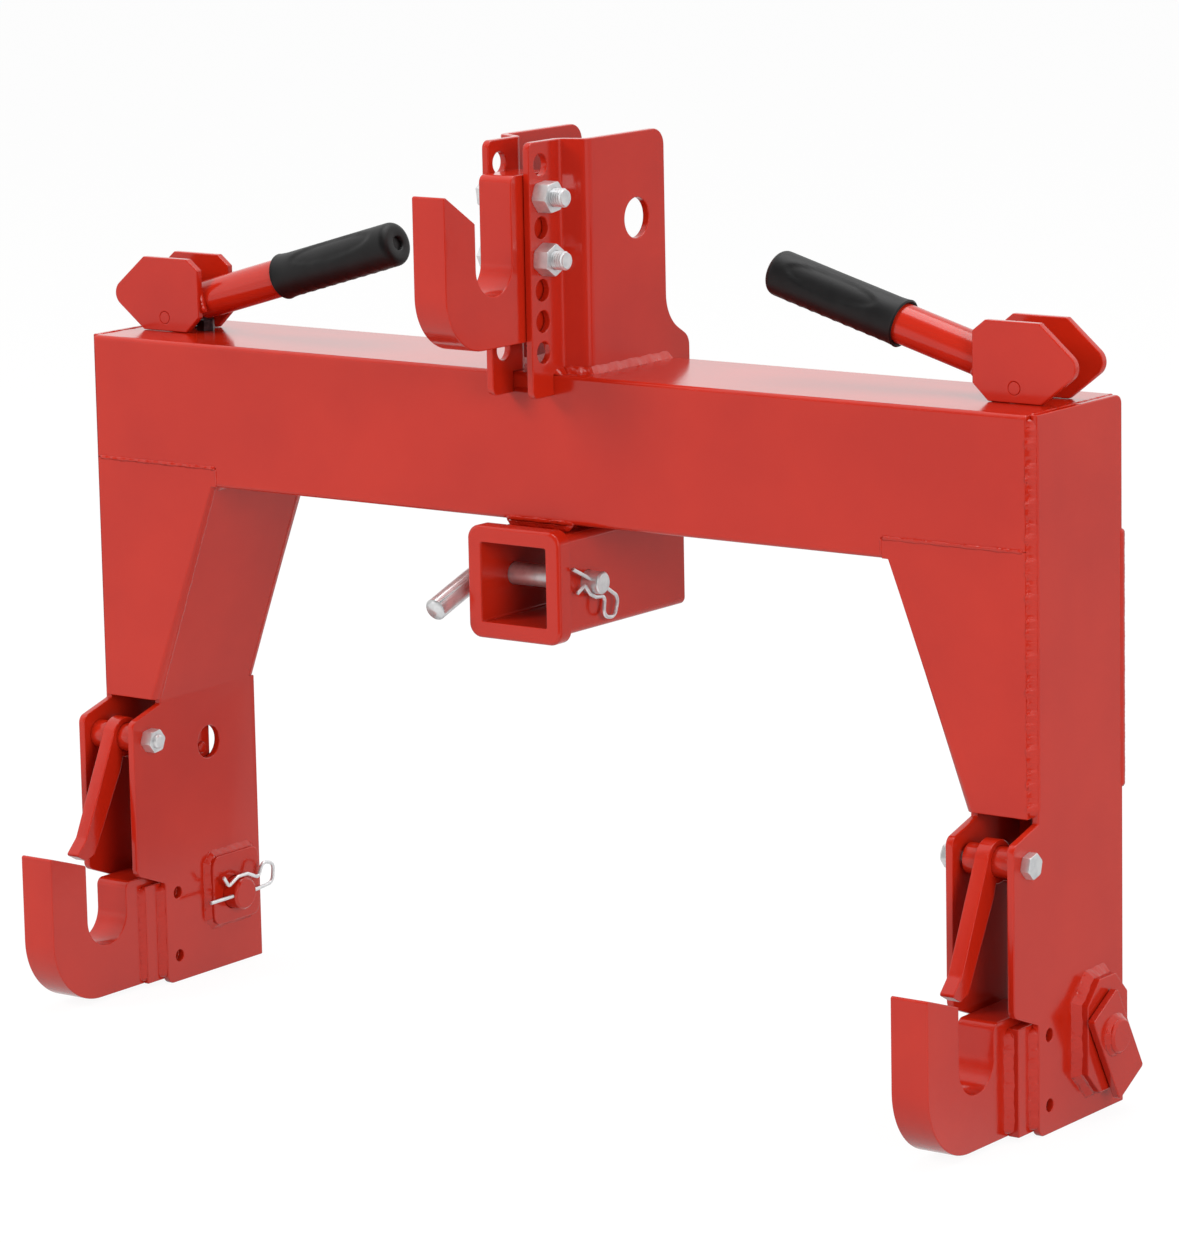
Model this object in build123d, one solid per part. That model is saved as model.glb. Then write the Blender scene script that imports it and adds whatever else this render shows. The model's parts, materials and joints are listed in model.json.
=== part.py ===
from build123d import *
import math
import os

# Three point quick hitch, an inverted U frame that carries an implement on three hooks.
# Sizes are in millimetres. X runs across the hitch, Z is up, and the hooks face -Y.
# While modelling, Y = 0 is the front face of the beam and legs and Z = 0 is the foot of the legs.
# Each piece of the +X side is modelled once and mirrored for the -X side.

# Leg frame
HALF_WIDTH = 367.5  # outer face of the outer side plates
PLATE = 5.0  # side, front and rear plates
LEG_WIDTH = 48.0  # over both side plates below the knee
DEPTH = 102.4  # front face to rear face of the frame
KNEE_Z = 196.0  # where the inner side plate bends and the front plate ends
PLATE_CORNER = 6.0  # radius of the side plates' guard corners

# Beam
BEAM_TOP = 439.2
BEAM_BOTTOM = 344.9
BEAM_WALL = 5.0
BEAM_CORNER = 3.0
TAPER_RISE = 12.7  # how far the tapered front and rear plates reach above the beam's underside
TAPER_WIDTH = 107.0  # their top corner from the hitch's outer face

# Guard in front of the latch, part of each side plate
GUARD_REACH = 23.5  # how far it stands forward of the front face
GUARD_TOP = 184.5
GUARD_TOP_REAR = 193.0
GUARD_BOTTOM = 80.5
GUARD_BOTTOM_REAR = 70.0
SHIN_SETBACK = 4.0  # front edge of the side plates below the guard
DOWEL_HOLE = 8.0
DOWEL_Y = 16.5
DOWEL_HEIGHTS = (17.6, 61.3)

# Lower hooks
LOWER_HOOK_INSET = 26.0  # from the outer face, for the Category 1 spacing of 683 between centres
LOWER_HOOK_THICKNESS = 26.0
LOWER_HOOK_FRONT = -98.6
LOWER_HOOK_PRONG = 34.2
LOWER_HOOK_SLOT = 38.6
LOWER_HOOK_SLOT_BOTTOM = 37.5
LOWER_HOOK_PRONG_TOP = 106.5
LOWER_HOOK_PRONG_FALL = 11.5
LOWER_HOOK_SHANK_TOP = 76.0
LOWER_HOOK_SHANK_REAR = 34.0
LOWER_HOOK_BOTTOM = 3.0
LOWER_HOOK_NOSE = 45.0  # radius at the lower front
HOOK_HEEL_CORNER = 5.0  # upper front corner of a hook's shank
HOOK_TIP_CORNER = 1.5
SPACER_FRONT = -11.0

# Link pins, bosses and flags
LINK_PIN_RADIUS = 11.0
LINK_PIN_Y = 67.5
LINK_PIN_Z = 52.0
LINK_PIN_INNER = 17.0  # past the inner side plate
LINK_PIN_OUTER = 20.5  # past the outer side plate
PIN_CHAMFER = 1.5
OUTER_BOSS_THICKNESS = 9.5
OUTER_BOSS_FRONT = 45.5
OUTER_BOSS_REAR = 92.0
OUTER_BOSS_HEIGHT = 71.0
OUTER_BOSS_CHAMFER = 14.0
INNER_BOSS_THICKNESS = 6.0
INNER_BOSS_FRONT = 46.5
INNER_BOSS_REAR = 94.0
INNER_BOSS_BOTTOM = 32.0
INNER_BOSS_TOP = 79.5
INNER_BOSS_CORNER = 7.0
FLAG_WIDTH = 32.0
FLAG_LENGTH = 63.0
FLAG_THICKNESS = 5.0
FLAG_CORNER = 2.0
FLAG_TILT = 29.0
FLAG_OFFSET = 8.0  # its middle below the pin, along its length
FLAG_GAP = 1.0
FIT = 0.1  # radial clearance of the pins and bushes

# Latch
PIVOT_Y = -8.5
PIVOT_Z = 171.0
PIVOT_BOLT = 9.5
PIVOT_HEAD_AF = 14.3
PIVOT_HEAD_HEIGHT = 6.0
PIVOT_NUT_HEIGHT = 8.3
PIVOT_BOLT_PROUD = 2.5
PIVOT_BOLT_CHAMFER = 1.0
PIVOT_HEAD_TURN = 15.0
PIVOT_NUT_TURN = 8.0
BUSH_DIAMETER = 19.0
BUSH_INNER_GAP = 3.0
BUSH_OUTER_GAP = 0.4
LEVER_THICKNESS = 10.0
LEVER_HUB_RADIUS = 13.5
LEVER_TIP_FRONT = (-61.5, 99.5)
LEVER_TIP_REAR = (-44.0, 97.5)
LEVER_TIP_BOTTOM = (-52.5, 94.5)
LEVER_KNEE = (-51.5, 109.5)
LEVER_HEEL = (-15.0, 150.0)
LEVER_TIP_CORNER = 1.5
LEVER_HEEL_RADIUS = 6.0
LEVER_KNEE_RADIUS = 8.0
LEVER_ARM_HALF = 11.0
FOOT_PIN = 8.0
FOOT_PIN_CHAMFER = 0.8
FOOT_SLOT_PLAY = 0.6
FOOT_SLOT_LENGTH = 15.0
INNER_HOLE = 22.2  # access hole to the foot pin
INNER_HOLE_Y = 53.1
INNER_HOLE_Z = 158.5

# Cam lever
CAM_PIN_INSET = 35.5  # from the hitch's outer face
CAM_PIN = 8.0
CAM_Y = 55.0
CAM_PIN_HEIGHT = 9.2  # above the beam
CAM_PLATE = 5.0
CAM_GAP = 26.5
CAM_REST_GAP = 0.3
CAM_TOP = 40.0  # heights and widths are from the pin's axis
CAM_BOTTOM_HALF = 18.5
CAM_TOP_OUT = 17.5
CAM_TOP_IN = 20.5
CAM_INNER = 29.5
CAM_INNER_LOW = 1.5
CAM_INNER_HIGH = 33.0
CAM_NOSE_APEX = (48.1, 14.0)  # where the two slanted edges would meet
CAM_NOSE_RADIUS = 9.2
CAM_CORNER = 1.5
HANDLE_TILT = 16.0
HANDLE_TUBE = 25.4
HANDLE_WALL = 2.5
HANDLE_RISE = 5.3  # tube axis above the pin axis, at the pin
HANDLE_START = 22.0
HANDLE_END = 189.0
GRIP_START = 92.5
GRIP_END = 193.0
GRIP_DIAMETER = 30.0
GRIP_LIP = 31.0
GRIP_LIP_LENGTH = 5.0
GRIP_END_RADIUS = 5.0
GRIP_LIP_RADIUS = 1.2
GRIP_NECK_RADIUS = 2.0
STOP_BOLT_INWARD = 20.0
STOP_BOLT_AF = 11.0
STOP_BOLT_HEAD = 8.0
STOP_BOLT = 6.0
STOP_BOLT_REACH = 8.0  # below the beam's top wall
STOP_BOLT_CHAMFER = 0.8

# Release rod and its return spring
ROD = 12.0
ROD_EYE = 17.6
ROD_EYE_WIDTH = 22.0
ROD_HOLE_PLAY = 0.5
ROD_FOOT_DROP = 17.85  # foot pin below the pivot at rest, half of the lift
ROD_LUG_WIDTH = 17.0
ROD_LUG_THICKNESS = 8.0
ROD_LUG_TOP = 206.0
ROD_LUG_BELOW = 12.0
ROD_LUG_CORNER = 6.0
ROD_LUG_OVERLAP = 10.0  # the round rod runs this far into the lug
FOOT_PIN_INNER = 1.5  # past the lug
FOOT_PIN_OUTER = 4.0  # past the latch lever
SPRING_WIRE = 2.5
SPRING_DIAMETER = 22.0
SPRING_TURNS = 7
SPRING_COLLAR = 24.0
SPRING_COLLAR_THICKNESS = 5.0
SPRING_COLLAR_Z = 356.0

# Mast plates
STRIP_OUTER_X = 18.2
CLEVIS_OUTER_X = 34.5
MAST_PLATE = 5.0
MAST_BEND = 3.0  # inner radius of the bends
MAST_HEIGHT = 146.6  # above the beam
STRIP_FRONT = -21.4
STRIP_REAR = 10.5
JOG_REAR = 17.2
STRIP_DROP = 13.0  # below the beam's top, in front of it
STRIP_CORNER = 5.0
MAST_REAR = 99.1
MAST_REAR_CORNER = 11.0
MAST_FOOT_REAR = 123.7
MAST_FOOT_DROP = 31.0  # below the beam's top, behind it
MAST_FOOT_CORNER = 5.0
MAST_FLARE_HIGH = 25.5  # the flare's two corners, above the beam
MAST_FLARE_LOW = 10.9
MAST_FLARE_INNER_RADIUS = 26.0
MAST_FLARE_OUTER_RADIUS = 10.5
TOP_LINK_HOLE = 25.6
TOP_LINK_Y = 68.6
TOP_LINK_DROP = 54.3  # below the mast's top
HEIGHT_HOLES = 7
HEIGHT_HOLE = 13.5
HEIGHT_HOLE_Y = -9.6
HEIGHT_HOLE_DROP = 14.5  # first hole below the mast's top
HEIGHT_HOLE_RISE = 15.1  # last hole above the beam
BOLT_HOLES_USED = (1, 3)
MAST_BOLT = 12.0
MAST_BOLT_AF = 18.0
MAST_BOLT_HEAD = 7.5
MAST_NUT_HEIGHT = 10.8
MAST_BOLT_PROUD = 8.5
MAST_BOLT_CHAMFER = 1.2
MAST_NUT_TURNS = (8.0, 26.0)

# Upper hook, its heights below the mast's top
UPPER_HOOK_THICKNESS = 25.0
UPPER_HOOK_FRONT = -99.6
UPPER_HOOK_PRONG = 30.4
UPPER_HOOK_SLOT = 36.5
UPPER_HOOK_SLOT_DROP = 91.8
UPPER_HOOK_PRONG_DROP = 25.3
UPPER_HOOK_PRONG_FALL = 20.0
UPPER_HOOK_SHANK_DROP = 19.8
UPPER_HOOK_SHANK_REAR = 8.0
UPPER_HOOK_BOTTOM_DROP = 124.2
UPPER_HOOK_NOSE = 36.0

# Receiver
RECEIVER_OPENING = 51.0
RECEIVER_WALL = 6.25
RECEIVER_CORNER = 5.0
RECEIVER_BORE_CORNER = 1.5
RECEIVER_Z = 307.8
RECEIVER_FRONT = -22.9
RECEIVER_REAR = 117.7
COLLAR_OUTER = 72.0
COLLAR_DEPTH = 12.0
COLLAR_CORNER = 9.0
COLLAR_FRONT_RADIUS = 2.5
COLLAR_LIP = 1.0  # the collar covers the tube's end by this much
RECEIVER_PAD_WIDTH = 40.0
RECEIVER_PIN = 14.4
RECEIVER_PIN_Y = 12.9
RECEIVER_PIN_END = 12.5  # past the tube's side
RECEIVER_PIN_CHAMFER = 1.2
RECEIVER_ARM_OUT = 18.5
RECEIVER_ARM_LENGTH = 54.0
RECEIVER_ARM_DROP = 19.2
RECEIVER_PIN_BEND = 14.0

# Spring clips
CLIP_WIRE = 2.5
CLIP_FIT = 0.05  # radial clearance in the pin's hole
CLIP_LOOP = 7.5
CLIP_HUMP_GAP = 0.3
LINK_CLIP_INSET = 3.0
LINK_CLIP_TAIL = 34.0
LINK_CLIP_REACH = 5.0  # from the pin's side to the loop
RECEIVER_CLIP_INSET = 6.0
RECEIVER_CLIP_TAIL = 27.0
RECEIVER_CLIP_REACH = 4.0
RECEIVER_CLIP_TURN = -26.0

# Derived places
INNER_FACE = HALF_WIDTH - LEG_WIDTH
LEG_CENTRE_X = HALF_WIDTH - LEG_WIDTH / 2
OUTER_INSIDE = HALF_WIDTH - PLATE
INNER_INSIDE = INNER_FACE + PLATE
HOOK_X = HALF_WIDTH - LOWER_HOOK_INSET
TAPER_TOP_X = HALF_WIDTH - TAPER_WIDTH
TAPER_TOP_Z = BEAM_BOTTOM + TAPER_RISE
MAST_TOP = BEAM_TOP + MAST_HEIGHT
HEIGHT_HOLE_TOP = MAST_TOP - HEIGHT_HOLE_DROP
HEIGHT_HOLE_PITCH = (HEIGHT_HOLE_TOP - BEAM_TOP - HEIGHT_HOLE_RISE) / (HEIGHT_HOLES - 1)
CAM_PIN_X = HALF_WIDTH - CAM_PIN_INSET
CAM_PIN_Z = BEAM_TOP + CAM_PIN_HEIGHT
ROD_FOOT_Z = PIVOT_Z - ROD_FOOT_DROP
RECEIVER_OUTER = RECEIVER_OPENING + 2 * RECEIVER_WALL
# The finished model is centred on its own depth, so every piece moves by this much when it is saved
Y_SHIFT = -(UPPER_HOOK_FRONT + MAST_FOOT_REAR) / 2


def outline(points, radii):
    """Closed flat face through the points, each corner rounded by its radius."""
    return make_face(FilletPolyline(*points, radius=radii, close=True))


def side_plate(sketch, x, thickness):
    """Plate that stands in the YZ plane, from x towards +X."""
    return extrude(Plane.YZ.offset(x) * sketch, thickness, dir=(1, 0, 0))


def front_plate(sketch, y, thickness):
    """Plate that stands in the XZ plane, from y towards the rear."""
    return extrude(Plane.XZ.offset(-y) * sketch, thickness, dir=(0, 1, 0))


def x_cylinder(radius, x0, x1, y, z):
    return extrude(Plane.YZ.offset(x0) * Pos(y, z) * Circle(radius), x1 - x0)


def y_cylinder(radius, y0, y1, x, z):
    return extrude(Plane.XZ.offset(-y0) * Pos(x, z) * Circle(radius), y0 - y1)


def z_cylinder(radius, z0, z1, x, y):
    return extrude(Plane.XY.offset(z0) * Pos(x, y) * Circle(radius), z1 - z0)


def x_hexagon(across_flats, x0, x1, y, z, turn=0.0):
    """Hexagon along X with the corners of its two ends eased, as on a bolt head or nut."""
    corner = across_flats / math.cos(math.radians(30)) / 2
    prism = extrude(Plane.YZ.offset(x0) * Pos(y, z) * RegularPolygon(corner, 6, rotation=turn), x1 - x0)
    dome = x_cylinder(corner, x0, x1, y, z)
    ease = 0.5 * (corner - across_flats / 2)
    dome = chamfer(dome.edges().filter_by(GeomType.CIRCLE), ease)
    return prism & dome


# Leg plates

def side_plate_outline(lowest_top):
    """Profile in Y and Z: shin, the latch guard standing forward, and the edge behind the front plate."""
    points = [
        (SHIN_SETBACK, 0),
        (DEPTH, 0),
        (DEPTH, lowest_top),
        (PLATE, lowest_top),
        (PLATE, GUARD_TOP_REAR),
        (-GUARD_REACH, GUARD_TOP),
        (-GUARD_REACH, GUARD_BOTTOM),
        (SHIN_SETBACK, GUARD_BOTTOM_REAR),
    ]
    radii = [PLATE_CORNER, 0, 0, 0, 0, PLATE_CORNER, PLATE_CORNER, 2.0]
    return outline(points, radii)


def leg_holes(x0, x1):
    """Holes that both side plates of a leg share: dowels, latch pivot and link pin."""
    holes = [x_cylinder(DOWEL_HOLE / 2, x0, x1, DOWEL_Y, z) for z in DOWEL_HEIGHTS]
    holes.append(x_cylinder(PIVOT_BOLT / 2, x0, x1, PIVOT_Y, PIVOT_Z))
    holes.append(x_cylinder(LINK_PIN_RADIUS + FIT, x0, x1, LINK_PIN_Y, LINK_PIN_Z))
    return holes


def outer_side_plate():
    plate = side_plate(side_plate_outline(BEAM_TOP), OUTER_INSIDE, PLATE)
    top_rear = plate.edges().filter_by(Axis.X).sort_by(Axis.Z)[-2:].sort_by(Axis.Y)[-1]
    plate = fillet(top_rear, PLATE_CORNER)
    return plate - leg_holes(OUTER_INSIDE - 1, HALF_WIDTH + 1)


def slope_x(z):
    """Where the inner side plate's outer face is at a height above the knee."""
    run = (INNER_FACE - TAPER_TOP_X) / (TAPER_TOP_Z - KNEE_Z)
    return INNER_FACE - (z - KNEE_Z) * run


def inner_side_plate():
    """Bent plate: the flat lower part carries the guard, and above the knee it slopes in to the beam."""
    lower = side_plate(side_plate_outline(KNEE_Z), INNER_FACE, PLATE)
    slope_angle = math.atan2(INNER_FACE - TAPER_TOP_X, TAPER_TOP_Z - KNEE_Z)
    across = PLATE / math.cos(slope_angle)
    bend = PLATE * math.tan(slope_angle / 2)
    top_x = slope_x(BEAM_BOTTOM)
    section = Polygon(
        (INNER_FACE, KNEE_Z),
        (top_x, BEAM_BOTTOM),
        (top_x + across, BEAM_BOTTOM),
        (INNER_FACE + PLATE, KNEE_Z + bend),
        (INNER_FACE + PLATE, KNEE_Z),
        align=None,
    )
    upper = front_plate(section, PLATE, DEPTH - 2 * PLATE)
    plate = lower + upper
    plate -= leg_holes(INNER_FACE - 1, INNER_INSIDE + 1)
    return plate - x_cylinder(INNER_HOLE / 2, INNER_FACE - 1, INNER_INSIDE + 1, INNER_HOLE_Y, INNER_HOLE_Z)


def taper_outline():
    """Front and rear leg plates seen from the front."""
    return Polygon(
        (TAPER_TOP_X, TAPER_TOP_Z),
        (OUTER_INSIDE, TAPER_TOP_Z),
        (OUTER_INSIDE, KNEE_Z),
        (INNER_FACE, KNEE_Z),
        (slope_x(BEAM_BOTTOM), BEAM_BOTTOM),
        (TAPER_TOP_X, BEAM_BOTTOM),
        align=None,
    )


def front_leg_plate():
    return front_plate(taper_outline(), 0, PLATE)


def rear_leg_plate():
    return front_plate(taper_outline(), DEPTH - PLATE, PLATE)


def top_beam():
    height = BEAM_TOP - BEAM_BOTTOM
    centre = Pos(DEPTH / 2, (BEAM_TOP + BEAM_BOTTOM) / 2)
    outer = RectangleRounded(DEPTH, height, BEAM_CORNER)
    inner = Rectangle(DEPTH - 2 * BEAM_WALL, height - 2 * BEAM_WALL)
    beam = side_plate(centre * (outer - inner), -OUTER_INSIDE, 2 * OUTER_INSIDE)
    notch_height = TAPER_TOP_Z - BEAM_BOTTOM
    notch_length = OUTER_INSIDE - TAPER_TOP_X
    for side in (1, -1):
        x = side * (TAPER_TOP_X + notch_length / 2)
        z = BEAM_BOTTOM + notch_height / 2
        for y in (PLATE / 2, DEPTH - PLATE / 2):
            beam -= Pos(x, y, z) * Box(notch_length, PLATE, notch_height)
        beam -= z_cylinder(ROD / 2 + ROD_HOLE_PLAY, BEAM_BOTTOM - 1, BEAM_TOP + 1, side * CAM_PIN_X, CAM_Y)
        stop_x = side * (CAM_PIN_X - STOP_BOLT_INWARD)
        beam -= z_cylinder(STOP_BOLT / 2, BEAM_TOP - BEAM_WALL - 1, BEAM_TOP + 1, stop_x, CAM_Y)
    return beam


# Lower hooks and what carries them

def hook_outline(front, prong, slot, slot_bottom, prong_top, fall, shank_top, shank_rear, bottom, nose):
    """J-shaped hook in Y and Z: a prong, a round-bottomed slot and a shank."""
    prong_rear = front + prong
    slot_rear = prong_rear + slot
    half = slot / 2
    body = outline(
        [(front, bottom), (shank_rear, bottom), (shank_rear, shank_top), (slot_rear, shank_top),
         (slot_rear, slot_bottom + half), (prong_rear, slot_bottom + half),
         (prong_rear, prong_top - fall), (front, prong_top)],
        [nose, 0, 0, HOOK_HEEL_CORNER, 0, 0, HOOK_TIP_CORNER, HOOK_TIP_CORNER],
    )
    return body - Pos(prong_rear + half, slot_bottom + half) * Circle(half)


def lower_hook():
    sketch = hook_outline(
        LOWER_HOOK_FRONT, LOWER_HOOK_PRONG, LOWER_HOOK_SLOT, LOWER_HOOK_SLOT_BOTTOM,
        LOWER_HOOK_PRONG_TOP, LOWER_HOOK_PRONG_FALL, LOWER_HOOK_SHANK_TOP, LOWER_HOOK_SHANK_REAR,
        LOWER_HOOK_BOTTOM, LOWER_HOOK_NOSE,
    )
    x0 = HOOK_X - LOWER_HOOK_THICKNESS / 2
    x1 = HOOK_X + LOWER_HOOK_THICKNESS / 2
    return side_plate(sketch, x0, LOWER_HOOK_THICKNESS) - dowel_holes(x0, x1)


def dowel_holes(x0, x1):
    return [x_cylinder(DOWEL_HOLE / 2, x0 - 1, x1 + 1, DOWEL_Y, z) for z in DOWEL_HEIGHTS]


def hook_spacer(x0, x1):
    """Packing plate between a hook and a side plate, standing forward of the plate's edge."""
    depth = LOWER_HOOK_SHANK_REAR - SPACER_FRONT
    height = GUARD_BOTTOM_REAR - LOWER_HOOK_BOTTOM
    sketch = Pos(SPACER_FRONT + depth / 2, LOWER_HOOK_BOTTOM + height / 2) * Rectangle(depth, height)
    return side_plate(sketch, x0, x1 - x0) - dowel_holes(x0, x1)


def outer_link_boss():
    """Chamfered pad that lengthens the link pin's bore outwards."""
    width = OUTER_BOSS_REAR - OUTER_BOSS_FRONT
    sketch = Rectangle(width, OUTER_BOSS_HEIGHT)
    sketch = Pos(OUTER_BOSS_FRONT + width / 2, LINK_PIN_Z) * chamfer(sketch.vertices(), OUTER_BOSS_CHAMFER)
    boss = side_plate(sketch, HALF_WIDTH, OUTER_BOSS_THICKNESS)
    end = HALF_WIDTH + OUTER_BOSS_THICKNESS + 1
    return boss - x_cylinder(LINK_PIN_RADIUS + FIT, HALF_WIDTH - 1, end, LINK_PIN_Y, LINK_PIN_Z)


def inner_link_boss():
    """Smaller round-cornered pad on the inner side plate."""
    width = INNER_BOSS_REAR - INNER_BOSS_FRONT
    height = INNER_BOSS_TOP - INNER_BOSS_BOTTOM
    sketch = RectangleRounded(width, height, INNER_BOSS_CORNER)
    sketch = Pos(INNER_BOSS_FRONT + width / 2, INNER_BOSS_BOTTOM + height / 2) * sketch
    start = INNER_FACE - INNER_BOSS_THICKNESS
    boss = side_plate(sketch, start, INNER_BOSS_THICKNESS)
    return boss - x_cylinder(LINK_PIN_RADIUS + FIT, start - 1, INNER_FACE + 1, LINK_PIN_Y, LINK_PIN_Z)


def link_pin_span():
    inner = INNER_FACE - LINK_PIN_INNER
    outer = HALF_WIDTH + LINK_PIN_OUTER
    return inner, outer


def lower_link_pin():
    inner, outer = link_pin_span()
    pin = x_cylinder(LINK_PIN_RADIUS, inner, outer, LINK_PIN_Y, LINK_PIN_Z)
    pin = chamfer(pin.edges().filter_by(GeomType.CIRCLE), PIN_CHAMFER)
    clip_x = inner + LINK_CLIP_INSET
    y0 = LINK_PIN_Y - 2 * LINK_PIN_RADIUS
    y1 = LINK_PIN_Y + 2 * LINK_PIN_RADIUS
    return pin - y_cylinder(CLIP_WIRE / 2 + CLIP_FIT, y0, y1, clip_x, LINK_PIN_Z)


def link_pin_flag():
    """Flat plate welded on the pin's outer end, so that the pin can't pass through."""
    x = HALF_WIDTH + OUTER_BOSS_THICKNESS + FLAG_GAP
    sketch = RectangleRounded(FLAG_WIDTH, FLAG_LENGTH, FLAG_CORNER)
    sketch = Pos(LINK_PIN_Y, LINK_PIN_Z) * Rot(0, 0, FLAG_TILT) * Pos(0, -FLAG_OFFSET) * sketch
    plate = side_plate(sketch, x, FLAG_THICKNESS)
    return plate - x_cylinder(LINK_PIN_RADIUS, x - 1, x + FLAG_THICKNESS + 1, LINK_PIN_Y, LINK_PIN_Z)


# Latch

def pivot_bolt():
    inner = INNER_FACE - PIVOT_NUT_HEIGHT - PIVOT_BOLT_PROUD
    shank = x_cylinder(PIVOT_BOLT / 2, inner, HALF_WIDTH, PIVOT_Y, PIVOT_Z)
    shank = chamfer(shank.edges().filter_by(GeomType.CIRCLE).sort_by(Axis.X)[0], PIVOT_BOLT_CHAMFER)
    end = HALF_WIDTH + PIVOT_HEAD_HEIGHT
    return shank + x_hexagon(PIVOT_HEAD_AF, HALF_WIDTH, end, PIVOT_Y, PIVOT_Z, PIVOT_HEAD_TURN)


def pivot_nut():
    start = INNER_FACE - PIVOT_NUT_HEIGHT
    nut = x_hexagon(PIVOT_HEAD_AF, start, INNER_FACE, PIVOT_Y, PIVOT_Z, PIVOT_NUT_TURN)
    return nut - x_cylinder(PIVOT_BOLT / 2, start - 1, INNER_FACE + 1, PIVOT_Y, PIVOT_Z)


def latch_bush():
    x0 = INNER_INSIDE + BUSH_INNER_GAP
    x1 = OUTER_INSIDE - BUSH_OUTER_GAP
    bush = x_cylinder(BUSH_DIAMETER / 2, x0, x1, PIVOT_Y, PIVOT_Z)
    return bush - x_cylinder(PIVOT_BOLT / 2 + FIT, x0 - 1, x1 + 1, PIVOT_Y, PIVOT_Z)


def latch_lever():
    """Bell crank: a tapered arm hangs over the hook's slot, and a rear arm reaches back to the rod's foot."""
    x0 = LEG_CENTRE_X - LEVER_THICKNESS / 2
    hub_front = (PIVOT_Y - LEVER_HUB_RADIUS * 0.8, PIVOT_Z + LEVER_HUB_RADIUS * 0.6)
    pivot = (PIVOT_Y, PIVOT_Z)
    finger = outline(
        [LEVER_TIP_FRONT, LEVER_TIP_BOTTOM, LEVER_TIP_REAR, LEVER_HEEL, pivot, hub_front, LEVER_KNEE],
        [LEVER_TIP_CORNER, LEVER_TIP_CORNER, LEVER_TIP_CORNER, LEVER_HEEL_RADIUS, 0, 0, LEVER_KNEE_RADIUS],
    )
    hub = Pos(PIVOT_Y, PIVOT_Z) * Circle(LEVER_HUB_RADIUS)
    foot = (CAM_Y, ROD_FOOT_Z)
    reach = math.dist((PIVOT_Y, PIVOT_Z), foot)
    turn = math.degrees(math.atan2(foot[1] - PIVOT_Z, foot[0] - PIVOT_Y))
    at_pivot = Pos(PIVOT_Y, PIVOT_Z) * Rot(0, 0, turn)
    arm = at_pivot * Pos(reach / 2, 0) * Rectangle(reach, 2 * LEVER_ARM_HALF)
    arm_end = Pos(*foot) * Circle(LEVER_ARM_HALF)
    slot = Pos(*foot) * Rot(0, 0, turn) * SlotOverall(FOOT_SLOT_LENGTH, FOOT_PIN + 2 * FOOT_SLOT_PLAY)
    bore = Pos(PIVOT_Y, PIVOT_Z) * Circle(BUSH_DIAMETER / 2)
    return side_plate(hub + finger + arm + arm_end - slot - bore, x0, LEVER_THICKNESS)


# Release rod

def release_rod():
    """Round rod with an eye for the cam pin at its top and a flat lug for the foot pin at its bottom."""
    y0 = CAM_Y - ROD_EYE_WIDTH / 2
    eye = y_cylinder(ROD_EYE / 2, y0, y0 + ROD_EYE_WIDTH, CAM_PIN_X, CAM_PIN_Z)
    rod = z_cylinder(ROD / 2, ROD_LUG_TOP - ROD_LUG_OVERLAP, CAM_PIN_Z, CAM_PIN_X, CAM_Y)
    lug_bottom = ROD_FOOT_Z - ROD_LUG_BELOW
    lug_height = ROD_LUG_TOP - lug_bottom
    lug_sketch = RectangleRounded(ROD_LUG_WIDTH, lug_height, ROD_LUG_CORNER)
    lug_sketch = Pos(CAM_Y, lug_bottom + lug_height / 2) * lug_sketch
    lug = side_plate(lug_sketch, CAM_PIN_X - ROD_LUG_THICKNESS / 2, ROD_LUG_THICKNESS)
    whole = eye + rod + lug
    whole -= y_cylinder(CAM_PIN / 2 + FIT, y0 - 1, y0 + ROD_EYE_WIDTH + 1, CAM_PIN_X, CAM_PIN_Z)
    return whole - x_cylinder(FOOT_PIN / 2, CAM_PIN_X - ROD, CAM_PIN_X + ROD, CAM_Y, ROD_FOOT_Z)


def rod_foot_pin():
    x0 = CAM_PIN_X - ROD_LUG_THICKNESS / 2 - FOOT_PIN_INNER
    x1 = LEG_CENTRE_X + LEVER_THICKNESS / 2 + FOOT_PIN_OUTER
    pin = x_cylinder(FOOT_PIN / 2, x0, x1, CAM_Y, ROD_FOOT_Z)
    return chamfer(pin.edges().filter_by(GeomType.CIRCLE), FOOT_PIN_CHAMFER)


def spring_collar():
    top = SPRING_COLLAR_Z + SPRING_COLLAR_THICKNESS
    collar = z_cylinder(SPRING_COLLAR / 2, SPRING_COLLAR_Z, top, CAM_PIN_X, CAM_Y)
    return collar - z_cylinder(ROD / 2, SPRING_COLLAR_Z - 1, top + 1, CAM_PIN_X, CAM_Y)


def return_spring():
    """Compression spring of square wire between the collar on the rod and the beam's top wall."""
    bottom = SPRING_COLLAR_Z + SPRING_COLLAR_THICKNESS + SPRING_WIRE / 2
    top = BEAM_TOP - BEAM_WALL - SPRING_WIRE / 2
    mean = (SPRING_DIAMETER - SPRING_WIRE) / 2
    coil = Helix(pitch=(top - bottom) / SPRING_TURNS, height=top - bottom, radius=mean)
    section = Plane(origin=coil @ 0, x_dir=(1, 0, 0), z_dir=coil % 0) * Rectangle(SPRING_WIRE, SPRING_WIRE)
    return Pos(CAM_PIN_X, CAM_Y, bottom) * sweep(section, path=coil, is_frenet=True)


# Cam lever

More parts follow.
